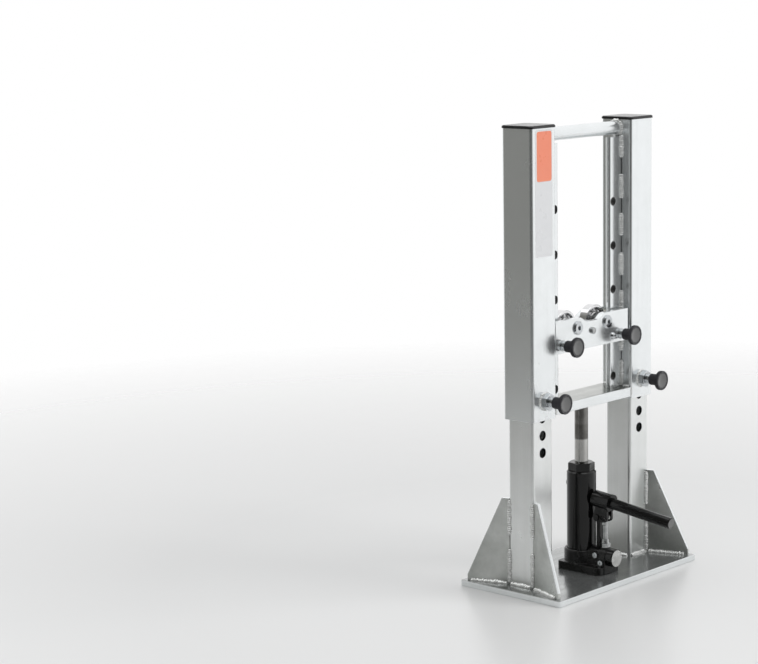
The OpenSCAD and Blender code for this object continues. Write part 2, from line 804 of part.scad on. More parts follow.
// Weld nuts that carry the frame plungers
module plunger_nuts() {
  color(zinc_dark) pair(post_x) translate([0, 0, frame_pin_z]) difference() {
    hex_y(boss_af, frame_seat, front_y);
    rod_y(frame_pin_d + 2 * run_fit, frame_seat - 1, front_y + 1);
    rod_y(bush_plug_d + 2 * bolt_fit, frame_seat - 1, frame_seat + bush_plug_h);
  }
}

// Index plunger, drawn with its seat at the origin and +Y towards the hole it locks

// Guide bush: screwed end, neck, spring chamber and end wall
module plunger_bush() {
  difference() {
    union() {
      rod_y(bush_plug_d, 0, bush_plug_h - free_gap);
      rod_y(neck_d, -neck_len, eps);
    }
    rod_y(chamber_d, -chamber_out, bush_plug_h + 1);
    rod_y(stem_d + 2 * run_fit, -neck_len - 1, 1);
  }
}

// Pin and stem, parked so that the pin's tip is at the given reach
module plunger_pin(pin_d, reach) {
  tip = 1;
  rod_y(stem_d, -stem_out, reach - pin_len + eps);
  rod_y(pin_d, reach - pin_len, reach - tip);
  translate([0, reach - tip - eps, 0]) facing_y() cylinder(d1 = pin_d, d2 = pin_d - 2 * tip, h = tip + eps);
}

// Spring between the end wall of the bush and the pin's shoulder
module plunger_spring(reach) {
  coil_y(
    (chamber_d + stem_d) / 2, spring_wire,
    free_gap - chamber_out, reach - pin_len - free_gap, spring_turns
  );
}

// Mushroom knob: collar over the neck, flared head and dished face
module plunger_knob() {
  collar_r = collar_d / 2;
  head_r = knob_d / 2;
  head_t = 6;
  flare_t = 5;
  rim = 1.6;
  dish_r = head_r - rim - 0.6;
  bore_r = neck_d / 2 + free_gap;
  bore_end = neck_len + plunger_travel + 2 * free_gap;
  face = knob_out;
  flare = [
    for (a = [0 : 15 : 90])
      [head_r - (head_r - collar_r) * cos(a), face - head_t - flare_t + flare_t * sin(a)]
  ];
  round = [for (a = [0 : 15 : 90]) [head_r - rim + rim * cos(a), face - rim + rim * sin(a)]];
  outline = concat(
    [[bore_r, neck_len + free_gap], [collar_r, neck_len + free_gap]],
    flare,
    round,
    [for (i = [0 : 6]) [dish_r * (1 - i / 6), face - knob_dish * (1 - pow(1 - i / 6, 2))]],
    [[0, stem_out + bolt_fit], [stem_d / 2 + bolt_fit, stem_out + bolt_fit]],
    [[stem_d / 2 + bolt_fit, bore_end], [bore_r, bore_end]]
  );
  rotate([90, 0, 0]) rotate_extrude() polygon(outline);
}

module frame_bushes() {
  color(zinc) pair(post_x) translate([0, frame_seat, frame_pin_z]) plunger_bush();
}

module frame_springs() {
  color(zinc_dark) pair(post_x) translate([0, frame_seat, frame_pin_z]) plunger_spring(frame_reach);
}

module frame_pin(side) {
  color(zinc) translate([side * post_x, frame_seat, frame_pin_z]) plunger_pin(frame_pin_d, frame_reach);
}

module frame_knob(side) {
  color(plastic) translate([side * post_x, frame_seat, frame_pin_z]) plunger_knob();
}

module carriage_bushes() {
  color(zinc) pair(rail_hole_x) translate([0, carriage_seat, carriage_pin_z]) plunger_bush();
}

module carriage_springs() {
  color(zinc_dark) pair(rail_hole_x) translate([0, carriage_seat, carriage_pin_z])
    plunger_spring(carriage_reach);
}

module carriage_pin(side) {
  color(zinc) translate([side * rail_hole_x, carriage_seat, carriage_pin_z])
    plunger_pin(rail_pin_d, carriage_reach);
}

module carriage_knob(side) {
  color(plastic) translate([side * rail_hole_x, carriage_seat, carriage_pin_z]) plunger_knob();
}

// Carriage

// Depth of the spindle notch at a distance x from the middle: level floor, then a smooth rise
function notch_at(x) =
  let (floor_half = notch_w / 5, t = (abs(x) - floor_half) / (notch_w / 2 - floor_half))
    t <= 0 ? notch_depth : notch_depth * (0.5 + 0.5 * cos(180 * t));

// Outline of both plates in the X-Z plane
module plate_outline() {
  steps = 24;
  notch = [
    for (i = [0 : steps])
      let (x = notch_w / 2 - notch_w * i / steps) [x, plate_h - notch_at(x)]
  ];
  polygon(concat(
    [[-plate_half, plate_h], [-plate_half, 0], [plate_half, 0], [plate_half, plate_h]],
    notch
  ));
}

// Plate with the holes of the axles and the centre bolt, its front face at y
module plate(y) {
  difference() {
    translate([0, y + plate_t, plate_z]) rotate([90, 0, 0]) linear_extrude(plate_t) plate_outline();
    pair(roller_x) translate([0, 0, roller_z]) rod_y(axle_d + 2 * bolt_fit, y - 1, y + plate_t + 1);
    translate([0, 0, centre_z]) rod_y(centre_d + 2 * bolt_fit, y - 1, y + plate_t + 1);
  }
}

module front_plate() {
  color(zinc) difference() {
    plate(plate_y);
    pair(guide_x) translate([0, 0, guide_z])
      rod_y(guide_screw_d + 2 * bolt_fit, plate_y - 1, plate_back + 1);
    pair(rail_hole_x) translate([0, 0, carriage_pin_z]) {
      rod_y(rail_pin_d + 2 * run_fit, plate_y - 1, plate_back + 1);
      rod_y(bush_plug_d + 2 * bolt_fit, plate_y - 1, plate_y + bush_plug_h);
    }
  }
}

module rear_plate() {
  color(zinc) plate(rear_y);
}

module front_pads() {
  color(nylon) pair_mirrored() difference() {
    translate([pad_x, plate_back, plate_z + 2])
      cube([pad_w, rail_y - slide_gap - plate_back, front_pad_h]);
    translate([rail_hole_x, 0, carriage_pin_z])
      rod_y(rail_pin_d + 2 * run_fit, plate_back - 1, rail_y);
  }
}

module rear_pads() {
  front = rail_y + rail_t + slide_gap;
  color(nylon) pair_mirrored() translate([pad_x + 2, front, plate_z + (plate_h - rear_pad_h) / 2])
    cube([pad_w - 2, rear_y - front, rear_pad_h]);
}

// Its children, and their mirror image across the middle
module pair_mirrored() {
  children();
  mirror([1, 0, 0]) children();
}

// Axle bolt: low round head with a hexagon socket, shank through both plates
module axle_bolts() {
  head_t = 4;
  color(zinc) pair(roller_x) translate([0, 0, roller_z]) difference() {
    union() {
      rod_y(axle_d, plate_y - eps, rear_y + plate_t + nut_high * axle_d + bolt_end);
      translate([0, plate_y, 0]) rotate([90, 0, 0]) {
        cylinder(d = axle_head_d, h = head_t - 2);
        translate([0, 0, head_t - 2]) cylinder(d1 = axle_head_d, d2 = axle_head_d - 4, h = 2);
      }
    }
    hex_y(0.6 * axle_d, plate_y - head_t - 1, plate_y - head_t + 3.2);
  }
}

// Stepped bush that carries a bearing: shoulder in front, seat for the inner ring behind
module axle_bushes() {
  color(zinc_dark) pair(roller_x) translate([0, 0, roller_z]) difference() {
    union() {
      rod_y(axle_shoulder_d, plate_back, roller_y);
      rod_y(roller_bore - 2 * bolt_fit, plate_back, rear_y);
    }
    rod_y(axle_d + 2 * bolt_fit, plate_back - 1, rear_y + 1);
  }
}

module axle_washers() {
  color(zinc) pair(roller_x) translate([0, 0, roller_z]) difference() {
    rod_y(axle_shoulder_d, roller_y + roller_w, rear_y);
    rod_y(roller_bore, roller_y, rear_y + 1);
  }
}

// Ring of a bearing between two radii, with the ball track cut into it
module bearing_ring(inner_r, outer_r) {
  edge = 0.8;
  translate([0, roller_y, roller_z]) facing_y() rotate_extrude() difference() {
    polygon([
      [inner_r, edge], [inner_r + edge, 0], [outer_r - edge, 0], [outer_r, edge],
      [outer_r, roller_w - edge], [outer_r - edge, roller_w],
      [inner_r + edge, roller_w], [inner_r, roller_w - edge]
    ]);
    translate([ball_pitch_r, roller_w / 2]) circle(ball_r + run_fit);
  }
}

module inner_rings() {
  color(zinc) pair(roller_x) bearing_ring(roller_bore / 2, roller_bore / 2 + ring_t);
}

module bearing_balls() {
  color(chrome) pair(roller_x) translate([0, roller_y + roller_w / 2, roller_z])
    for (i = [0 : ball_count - 1]) rotate([0, 360 * i / ball_count, 0]) translate([ball_pitch_r, 0, 0])
      sphere(ball_r);
}

module roller(side) {
  color(zinc) translate([side * roller_x, 0, 0]) bearing_ring(roller_d / 2 - ring_t, roller_d / 2);
}

// Bushes that run along the rails' free edges, each held by a dome screw
module edge_guides() {
  color(nylon) pair(guide_x) translate([0, 0, guide_z]) difference() {
    rod_y(guide_d, plate_back, plate_back + guide_len);
    rod_y(guide_screw_d + 2 * bolt_fit, plate_back - 1, plate_back + guide_len - 3 + bolt_fit);
  }
}

module guide_screws() {
  head_r = 0.75 * guide_screw_d;
  head_h = 0.62 * guide_screw_d;
  ball = (head_r * head_r + head_h * head_h) / (2 * head_h);
  color(zinc) pair(guide_x) translate([0, 0, guide_z]) {
    rod_y(guide_screw_d, plate_y - eps, plate_back + guide_len - 3);
    intersection() {
      translate([0, plate_y - head_h + ball, 0]) sphere(ball);
      rod_y(2 * head_r + 1, plate_y - head_h - 1, plate_y);
    }
  }
}

module centre_bolt() {
  color(zinc_dark) translate([0, 0, centre_z]) {
    rod_y(centre_d, plate_y - eps, rear_y + plate_t + nut_high * centre_d + bolt_end);
    hex_y(nut_wide * centre_d, plate_y - 0.65 * centre_d, plate_y);
  }
}

module centre_spacer() {
  color(zinc) translate([0, 0, centre_z]) difference() {
    rod_y(2.3 * centre_d, plate_back, rear_y);
    rod_y(centre_d + 2 * bolt_fit, plate_back - 1, rear_y + 1);
  }
}

module plate_nuts() {
  color(zinc_dark) {
    pair(roller_x) translate([0, 0, roller_z]) nut_y(axle_d, rear_y + plate_t);
    translate([0, 0, centre_z]) nut_y(centre_d, rear_y + plate_t);
  }
}

base_plate();
post(-1);  // left_post
post(1);  // right_post
gussets();
jack_base();
jack_reservoir();
jack_cylinder();
jack_top_nut();
pump_barrel();
fulcrum_post();
valve_plugs();
oil_plug();
jack_ram();
ram_seal();
sleeve(-1);  // left_sleeve
sleeve(1);  // right_sleeve
cap(-1);  // left_cap
cap(1);  // right_cap
cross_bar();
top_grip();
rail(-1);  // left_rail
rail(1);  // right_rail
plunger_nuts();
frame_bushes();
frame_springs();
front_plate();
rear_plate();
front_pads();
rear_pads();
axle_bolts();
axle_bushes();
axle_washers();
inner_rings();
bearing_balls();
edge_guides();
guide_screws();
centre_bolt();
centre_spacer();
plate_nuts();
carriage_bushes();
carriage_springs();
roller(-1);  // left_roller
roller(1);  // right_roller
frame_pin(-1);  // left_frame_pin
frame_knob(-1);  // left_frame_knob
frame_pin(1);  // right_frame_pin
frame_knob(1);  // right_frame_knob
carriage_pin(-1);  // left_carriage_pin
carriage_knob(-1);  // left_carriage_knob
carriage_pin(1);  // right_carriage_pin
carriage_knob(1);  // right_carriage_knob
pump_lever();
pump_handle();
fulcrum_pin();
pump_piston();
pump_seal();
piston_pin();
release_screw();
release_knob();
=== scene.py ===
"""Looks of the cable drum jack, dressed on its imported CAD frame.

Everything is in metres in the CAD frame: +Z is up, X runs from post to post, and -Y is the
operator's side with the plunger knobs and the pump handle. Sizes in the classes are millimetres.
The studio, the depths of bumps and the tolerances on meshes are in metres.
"""

import json
import logging
import math
from collections.abc import Callable, Iterable, Iterator, Sequence
from contextlib import contextmanager
from dataclasses import dataclass, field
from enum import Enum
from functools import cache

import bmesh
import bpy
from bpy.types import ID, Material, Mesh, Node, NodeSocket, NodeTree, Object
from mathutils import Matrix, Vector


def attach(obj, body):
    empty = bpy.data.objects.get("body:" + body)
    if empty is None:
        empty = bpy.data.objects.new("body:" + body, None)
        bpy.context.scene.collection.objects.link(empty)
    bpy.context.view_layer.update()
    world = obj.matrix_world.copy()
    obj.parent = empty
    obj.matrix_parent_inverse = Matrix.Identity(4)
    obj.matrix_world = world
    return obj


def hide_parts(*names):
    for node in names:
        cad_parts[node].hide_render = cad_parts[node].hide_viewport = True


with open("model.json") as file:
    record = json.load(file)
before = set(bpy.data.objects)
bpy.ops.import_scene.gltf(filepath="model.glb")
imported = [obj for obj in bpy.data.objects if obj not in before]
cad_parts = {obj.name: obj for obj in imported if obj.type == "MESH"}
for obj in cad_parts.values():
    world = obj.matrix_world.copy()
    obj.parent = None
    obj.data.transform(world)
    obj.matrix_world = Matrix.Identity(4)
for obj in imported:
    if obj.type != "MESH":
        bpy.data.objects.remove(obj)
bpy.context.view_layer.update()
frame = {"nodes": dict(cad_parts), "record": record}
LOG = logging.getLogger("drum_jack")
MM = 0.001
SIDES = (-1, 1)
Colour = tuple[float, float, float]
Point = tuple[float, float, float]
Span = tuple[float, float]
ORIGIN: Point = (0.0, 0.0, 0.0)
ALONG_X: Point = (1.0, 0.0, 0.0)
ALONG_Y: Point = (0.0, 1.0, 0.0)
ALONG_Z: Point = (0.0, 0.0, 1.0)


class Graph:
    """Adds and links the nodes of one node tree; mix_ are a Mix node's colour sockets."""

    mix_low, mix_high, mix_result = 6, 7, 2

    def __init__(self, tree: NodeTree) -> None:
        """Take over a tree and empty it."""
        self.tree = tree
        tree.nodes.clear()

    def fill(self, node: Node, inputs: dict) -> None:
        """Feed a node's inputs.

        Args:
            node: The node.
            inputs: Socket name or index to a constant, or to the socket that feeds it.
        """
        for key, value in inputs.items():
            if isinstance(value, NodeSocket):
                self.tree.links.new(value, node.inputs[key])
            else:
                node.inputs[key].default_value = value

    def add(self, kind: str, inputs: dict | None = None, **settings: object) -> Node:
        """Add a node.

        Args:
            kind: Blender's name of the node type.
            inputs: What feeds its inputs, as for fill().
            **settings: Properties of the node itself.

        Returns:
            The new node.
        """
        node = self.tree.nodes.new(kind)
        for name, value in settings.items():
            setattr(node, name, value)
        self.fill(node, inputs or {})
        return node

    def first(self, kind: str, inputs: dict | None = None, **settings: object) -> NodeSocket:
        """Return the first output of a new node."""
        return self.add(kind, inputs, **settings).outputs[0]

    def math(self, operation: str, a: object, b: object, clamp: bool = False) -> NodeSocket:
        """Return the result of one Math node on two values or sockets."""
        return self.first("ShaderNodeMath", {0: a, 1: b}, operation=operation, use_clamp=clamp)

    def product(self, a: object, b: object) -> NodeSocket:
        """Return the product of two values or sockets."""
        return self.math("MULTIPLY", a, b)

    def weighed(self, a: NodeSocket, a_share: float, b: NodeSocket, b_share: float) -> NodeSocket:
        """Return the sum of two values, each times its share."""
        return self.math("ADD", self.product(a, a_share), self.product(b, b_share))

    def vector(self, operation: str, a: object, b: object = ORIGIN) -> NodeSocket:
        """Add one Vector Math node.

        Args:
            operation: Blender's name of the operation.
            a: The vector.
            b: The second vector, or the scale.

        Returns:
            Its result, a vector or a value.
        """
        second = "Scale" if operation == "SCALE" else 1
        node = self.add("ShaderNodeVectorMath", {0: a, second: b}, operation=operation)
        return node.outputs["Value" if operation in ("LENGTH", "DOT_PRODUCT") else "Vector"]

    def noise(
        self, place: NodeSocket, scale: object, detail: float, rough: float = 0.5, warp: float = 0.0
    ) -> NodeSocket:
        """Return a noise value that changes from place to place."""
        looks = {"Scale": scale, "Detail": detail, "Roughness": rough, "Distortion": warp}
        return self.first("ShaderNodeTexNoise", {"Vector": place, **looks})

    def bump(self, strength: float, depth: float, height: NodeSocket) -> NodeSocket:
        """Return the normal of an uneven skin."""
        skin = {"Strength": strength, "Distance": depth, "Height": height}
        return self.first("ShaderNodeBump", skin)

    def blend(self, share: object, low: object, high: object) -> NodeSocket:
        """Mix two colours.

        Args:
            share: Share of the high colour.
            low: Colour or socket at 0.
            high: Colour or socket at 1.

        Returns:
            The mixed colour.
        """
        pair = [c if isinstance(c, NodeSocket) else (*c, 1.0) for c in (low, high)]
        inputs = {"Factor": share, self.mix_low: pair[0], self.mix_high: pair[1]}
        return self.add("ShaderNodeMix", inputs, data_type="RGBA").outputs[self.mix_result]

    def span(
        self, value: object, low: float, high: float, to_low: float = 0.0, to_high: float = 1.0
    ) -> NodeSocket:
        """Return a value mapped from one range to another, clamped."""
        ends = {"From Min": low, "From Max": high, "To Min": to_low, "To Max": to_high}
        return self.first("ShaderNodeMapRange", {"Value": value, **ends})

    def ramp(self, value: object, stops: Sequence[tuple[float, Colour]]) -> NodeSocket:
        """Read a colour from stops.

        Args:
            value: The place to read, from 0 to 1.
            stops: Places with their colours.

        Returns:
            The colour.
        """
        node = self.add("ShaderNodeValToRGB", {"Fac": value})
        elements = node.color_ramp.elements
        while len(elements) < len(stops):
            elements.new(0.5)
        for element, (place, colour) in zip(elements, stops):
            element.position = place
            element.color = (*colour, 1.0)
        return node.outputs["Color"]


class Effects:
    """Shader node groups that several finishes share; each is built once.

    A span is the part of a noise's range that its output stretches from 0 to 1.
    """

    fine_share = 0.45
    streak_span: Span = (0.34, 0.66)
    cloud_span: Span = (0.36, 0.64)
    smear_span: Span = (0.42, 0.72)
    speck_span: Span = (0.62, 0.78)
    speck_ratio = 14.0
    mottle_span: Span = (0.35, 0.65)
    swell_ratio = 0.12
    cell_share = 0.5

    @staticmethod
    def _open(
        name: str, takes: dict[str, object], gives: Sequence[str]
    ) -> tuple[Graph, bpy.types.NodeOutputs, Node]:
        """Start a group.

        Args:
            name: Name of the group.
            takes: Input names with their defaults, a value or a vector.
            gives: Names of the value outputs.

        Returns:
            The group's graph, what it is given, and its output node.
        """
        tree = bpy.data.node_groups.new(name, "ShaderNodeTree")
        for label, value in takes.items():
            kind = "NodeSocketVector" if isinstance(value, tuple) else "NodeSocketFloat"
            socket = tree.interface.new_socket(label, in_out="INPUT", socket_type=kind)
            socket.default_value = value
        for label in gives:
            tree.interface.new_socket(label, in_out="OUTPUT", socket_type="NodeSocketFloat")
        graph = Graph(tree)
        return graph, graph.add("NodeGroupInput").outputs, graph.add("NodeGroupOutput")

    @staticmethod
    @cache
    def rolled_skin() -> NodeTree:
        """Build the group for rolled and plated steel: streaks along the grain, pale clouds.

        Returns:
            The group.
        """
        graph, given, made = Effects._open(
            "rolled_skin",
            {"Vector": ORIGIN, "Grain": (700.0, 700.0, 14.0), "Cloud Scale": 20.0},
            ("Streak", "Cloud", "Height"),
        )
        along = graph.vector("MULTIPLY", given["Vector"], given["Grain"])
        fine = graph.noise(along, scale=1.0, detail=4.0, rough=0.62)
        broad = graph.noise(along, scale=0.13, detail=2.0)
        cloud = graph.noise(given["Vector"], given["Cloud Scale"], detail=5.0, rough=0.6)
        streak = graph.weighed(fine, Effects.fine_share, broad, 1.0 - Effects.fine_share)
        graph.fill(made, {
            "Streak": graph.span(streak, *Effects.streak_span),
            "Cloud": graph.span(cloud, *Effects.cloud_span),
            "Height": fine,
        })
        return graph.tree

    @staticmethod
    @cache
    def handling() -> NodeTree:
        """Build the group for dust and smears: soft patches with small specks.

        Returns:
            The group.
        """
        graph, given, made = Effects._open(
            "handling", {"Vector": ORIGIN, "Scale": 30.0}, ("Smear", "Speck")
        )
        place, scale = given["Vector"], given["Scale"]
        smear = graph.noise(place, scale, detail=6.0, rough=0.65, warp=0.6)
        speck = graph.noise(place, graph.product(scale, Effects.speck_ratio), detail=2.0)
        graph.fill(made, {
            "Smear": graph.span(smear, *Effects.smear_span),
            "Speck": graph.span(speck, *Effects.speck_span),
        })
        return graph.tree

    @staticmethod
    @cache
    def moulded_grain() -> NodeTree:
        """Build the group for a cast or moulded skin: small rounded grains on a slow swell.

        Returns:
            The group.
        """
        graph, given, made = Effects._open(
            "moulded_grain", {"Vector": ORIGIN, "Scale": 900.0}, ("Height", "Mottle")
        )
        place, scale = given["Vector"], given["Scale"]
        cells = {"Vector": place, "Scale": scale}
        cell = graph.add("ShaderNodeTexVoronoi", cells, feature="SMOOTH_F1").outputs["Distance"]
        swell = graph.noise(place, graph.product(scale, Effects.swell_ratio), detail=3.0)
        height = graph.math("ADD", graph.product(cell, Effects.cell_share), swell)
        mottle = graph.span(swell, *Effects.mottle_span)
        graph.fill(made, {"Height": height, "Mottle": mottle})
        return graph.tree


class Grain(Enum):
    """Direction of the rolling or drawing marks, as marks per metre along X, Y and Z."""

    ALONG_X = (12.0, 620.0, 620.0)
    ALONG_Y = (620.0, 12.0, 620.0)
    ALONG_Z = (620.0, 620.0, 12.0)
    CLOUDY = (140.0, 140.0, 140.0)
    FINE = (900.0, 900.0, 900.0)


@dataclass(frozen=True)
class Finish:
    """What every finish has: a name, and the record's material slot that it belongs to."""

    name: str
    slot: str

    def start(self) -> tuple[Material, Graph, Node, NodeSocket]:
        """Start a material.

        Returns:
            The material, its graph, its Principled shader and its Object coordinates.
        """
        material = bpy.data.materials.new(self.name)
        material.use_nodes = True
        graph = Graph(material.node_tree)
        shader = graph.add("ShaderNodeBsdfPrincipled")
        graph.add("ShaderNodeOutputMaterial", {"Surface": shader.outputs[0]})
        return material, graph, shader, graph.add("ShaderNodeTexCoord").outputs["Object"]

    def build(self) -> Material:
        """Make the material; each kind of finish says how."""
        raise NotImplementedError

    def material(self) -> Material:
        """Return this finish's material, made at its first use."""
        return bpy.data.materials.get(self.name) or self.build()


@dataclass(frozen=True)
class Metal(Finish):
    """Bare, plated or ground metal with streaks along its grain and clouds in its plating."""

    light: Colour
    dark: Colour
    rough: Span
    grain: Grain = Grain.ALONG_Z
    clouds: float = 18.0
    cloud_share: float = 0.5
    bump: float = 0.12
    metallic: float = 1.0
    bump_depth: float = 0.0002
    smear_scale: float = 9.0
    smear_share: float = 0.3

    def relief(self, graph: Graph, place: NodeSocket, height: NodeSocket) -> NodeSocket:
        """Return the height that the bump reads; plain metal has only its skin's."""
        return height

    def painted_shade(self, graph: Graph, place: NodeSocket, tone: NodeSocket) -> NodeSocket:
        """Return the share of the dark colour; plain metal has no painted shade."""
        return tone

    def build(self) -> Material:
        """Make the metal from the rolled skin and a little handling.

        Returns:
            The material.
        """
        material, graph, shader, place = self.start()
        rolled = {"Vector": place, "Grain": self.grain.value, "Cloud Scale": self.clouds}
        skin = graph.add("ShaderNodeGroup", rolled, node_tree=Effects.rolled_skin()).outputs
        smears = {"Vector": place, "Scale": self.smear_scale}
        marks = graph.add("ShaderNodeGroup", smears, node_tree=Effects.handling()).outputs
        clouds = self.cloud_share
        tone = graph.weighed(skin["Streak"], 1.0 - clouds, skin["Cloud"], clouds)
        tone = self.painted_shade(graph, place, tone)
        wear = graph.weighed(tone, 1.0 - self.smear_share, marks["Smear"], self.smear_share)
        height = self.relief(graph, place, skin["Height"])
        graph.fill(shader, {
            "Base Color": graph.blend(tone, self.light, self.dark),
            "Roughness": graph.span(wear, 0.0, 1.0, *self.rough),
            "Normal": graph.bump(self.bump, self.bump_depth, height),
            "Metallic": self.metallic,
        })
        return material


@dataclass(frozen=True)
class TurnedMetal(Metal):
    """Metal faced on a lathe: fine rings about an axis along Y."""

    axis: Point = ORIGIN
    ring_pitch: float = 1.1
    ring_share: float = 0.5
    skin_share: float = 0.4

    def relief(self, graph: Graph, place: NodeSocket, height: NodeSocket) -> NodeSocket:
        """Lay rings about the axis.

        Args:
            graph: The material's graph.
            place: Its Object coordinates.
            height: The skin's height, which roughens the rings.

        Returns:
            The height that the bump reads.
        """
        offset = {"Vector": place, "Location": tuple(-c * MM for c in self.axis)}
        flat = graph.vector("MULTIPLY", graph.first("ShaderNodeMapping", offset), (1.0, 0.0, 1.0))
        turns = graph.product(graph.vector("LENGTH", flat), math.tau / (self.ring_pitch * MM))
        rings = graph.math("SINE", turns, 0.0)
        return graph.weighed(rings, self.ring_share, height, self.skin_share)


@dataclass(frozen=True)
class ShadeBandMetal(Metal):
    """Metal with bands of painted shade and painted reflection, each between two heights and with
    its own share of darkening.
    """

    bands: tuple[tuple[float, float, float], ...] = ()
    fade: float = 3.0
    tone_share: float = 0.4

    def painted_shade(self, graph: Graph, place: NodeSocket, tone: NodeSocket) -> NodeSocket:
        """Add the bands of painted shade and painted reflection.

        Args:
            graph: The material's graph.
            place: Its Object coordinates.
            tone: Share of the dark colour before the bands.

        Returns:
            The share with the bands.
        """
        height = graph.add("ShaderNodeSeparateXYZ", {0: place}).outputs["Z"]
        shaded_share = graph.product(tone, self.tone_share)
        # Each band darkens the metal between two heights: painted shade under the cross bar and
        # painted reflections of it.
        for low, high, share in self.bands:
            rise = graph.span(height, (low - self.fade) * MM, low * MM, 0.0, share)
            fall = graph.span(height, high * MM, (high + self.fade) * MM, 1.0, 0.0)
            shaded_share = graph.math("ADD", shaded_share, graph.product(rise, fall), clamp=True)
        return shaded_share


@dataclass(frozen=True)
class Coating(Finish):
    """Paint, plastic, rubber or nylon: a body colour with dust, over a cast or moulded grain."""

    colour: Colour
    dust: Colour
    rough: Span
    grain: float = 900.0
    bump: float = 0.1
    bump_depth: float = 0.0002
    dust_share: float = 0.25
    coat: float = 0.0
    specular: float = 0.5
    coat_rough: float = 0.12
    smear_scale: float = 26.0
    smear_share: float = 0.6
    mottle_share: float = 0.5

    def build(self) -> Material:
        """Make the coating from the moulded grain and the handling marks.

        Returns:
            The material.
        """
        material, graph, shader, place = self.start()
        grains = {"Vector": place, "Scale": self.grain}
        skin = graph.add("ShaderNodeGroup", grains, node_tree=Effects.moulded_grain()).outputs
        smears = {"Vector": place, "Scale": self.smear_scale}
        marks = graph.add("ShaderNodeGroup", smears, node_tree=Effects.handling()).outputs
        smear, mottle = self.smear_share, self.mottle_share
        dusty = graph.weighed(marks["Smear"], smear, marks["Speck"], 1.0 - smear)
        uneven = graph.weighed(skin["Mottle"], mottle, marks["Smear"], 1.0 - mottle)
        share = graph.product(dusty, self.dust_share)
        graph.fill(shader, {
            "Base Color": graph.blend(share, self.colour, self.dust),
            "Roughness": graph.span(uneven, 0.0, 1.0, *self.rough),
            "Normal": graph.bump(self.bump, self.bump_depth, skin["Height"]),
            "Coat Weight": self.coat,
            "Coat Roughness": self.coat_rough,
            "Specular IOR Level": self.specular,
        })
        return material


def grey(value: float) -> Colour:
    """Return a neutral colour."""
    return (value, value, value)


ZINC: tuple[Colour, Colour] = ((0.885, 0.91, 0.92), (0.82, 0.845, 0.85))
TUBE = Metal("zinc_tube", "zinc_steel", *ZINC, (0.20, 0.30), bump=0.012, metallic=0.92)
# Posts: the sleeves' zinc made a little darker, as painted shade.
POST_SHADE = Metal(
    "zinc_post_painted_shade", "zinc_steel", (0.86, 0.875, 0.87), (0.77, 0.785, 0.775), (0.26, 0.36),
    bump=0.04, metallic=0.93,
)
FLAT_BAR = Metal(
    "zinc_flat_bar", "zinc_steel", *ZINC, (0.18, 0.30), Grain.ALONG_X, bump=0.04, metallic=0.86
)
# Cross bar: the zinc darkened as painted shade and painted reflection on its top and bottom.
BAR_TOP_SHADE = Metal(
    "zinc_bar_top_painted_shade", "zinc_steel", (0.50, 0.51, 0.49), (0.36, 0.37, 0.355), (0.18, 0.30),
    Grain.ALONG_X, bump=0.08,
)
RAIL = Metal("zinc_rail", "zinc_steel", *ZINC, (0.12, 0.24), bump=0.04, metallic=0.86)
# Base plate: the zinc darkened as painted shade on its top, for the dark surroundings that the top
# reflects.
PLATE_SHADE = Metal(
    "zinc_plate_painted_shade", "zinc_steel", (0.52, 0.535, 0.53), (0.32, 0.33, 0.328), (0.15, 0.26),
    Grain.ALONG_X, clouds=12.0, metallic=0.78,
)
GUSSET = Metal(
    "zinc_gusset", "dark_zinc", (0.62, 0.635, 0.615), (0.42, 0.435, 0.415), (0.26, 0.40),
    Grain.CLOUDY, clouds=16.0, cloud_share=0.75, metallic=0.84,
)
FITTING = Metal(
    "zinc_fitting", "zinc_steel", (0.68, 0.70, 0.715), (0.46, 0.48, 0.495), (0.06, 0.15),
    Grain.FINE, clouds=60.0, bump=0.04,
)
FASTENER = Metal(
    "zinc_fastener", "dark_zinc", (0.52, 0.53, 0.53), (0.32, 0.33, 0.33), (0.16, 0.30),
    Grain.FINE, clouds=80.0,
)
# Walls of holes and joints: near black, as painted shade in the recesses.
HOLE_SHADE = Metal(
    "painted_hole_shade", "dark_zinc", grey(0.10), grey(0.05), (0.45, 0.60), Grain.ALONG_Y, clouds=80.0
)
BEARING = Metal(
    "bearing_steel", "bearing_steel", grey(0.82), grey(0.70), (0.10, 0.20), Grain.ALONG_Y,
    clouds=40.0,
)
CHROME = Metal(
    "hard_chrome", "hard_chrome", grey(0.80), (0.62, 0.61, 0.60), (0.08, 0.20), Grain.CLOUDY,
    clouds=30.0,
)
# The ram's dark bands are painted reflections of the cross bar and painted shade under it.
RAM = ShadeBandMetal(
    "ram_painted_shade", "hard_chrome", (0.62, 0.615, 0.60), (0.10, 0.095, 0.088), (0.12, 0.26),
    clouds=30.0, bands=((228.0, 250.0, 0.72), (253.0, 300.0, 0.62), (100.0, 222.0, 0.10)),
)
TURNED = TurnedMetal(
    "turned_face", "hard_chrome", (0.66, 0.66, 0.65), (0.42, 0.42, 0.41), (0.24, 0.38),
    Grain.FINE, clouds=60.0, bump=0.5, axis=(0.0, 0.0, 36.8),
)
WELD = Metal(
    "weld_bead", "dark_zinc", (0.92, 0.93, 0.92), (0.62, 0.63, 0.62), (0.14, 0.28),
    Grain.CLOUDY, clouds=240.0, cloud_share=0.7, bump=0.2, metallic=0.7,
)
ENAMEL = Coating(
    "black_enamel", "black_paint", grey(0.003), (0.04, 0.038, 0.035), (0.10, 0.17), 420.0,
    bump=0.05, bump_depth=0.0003, dust_share=0.06, coat=0.15, specular=0.3,
)
CAST_ENAMEL = Coating(
    "black_cast_enamel", "black_paint", grey(0.004), (0.07, 0.067, 0.062), (0.20, 0.42), 300.0,
    bump=0.5, bump_depth=0.0005, dust_share=0.10, coat=0.1, specular=0.3,
)
CUT_END = Coating(
    "handle_end", "black_paint", (0.17, 0.17, 0.168), (0.26, 0.26, 0.25), (0.34, 0.50), 700.0,
    bump=0.2,
)
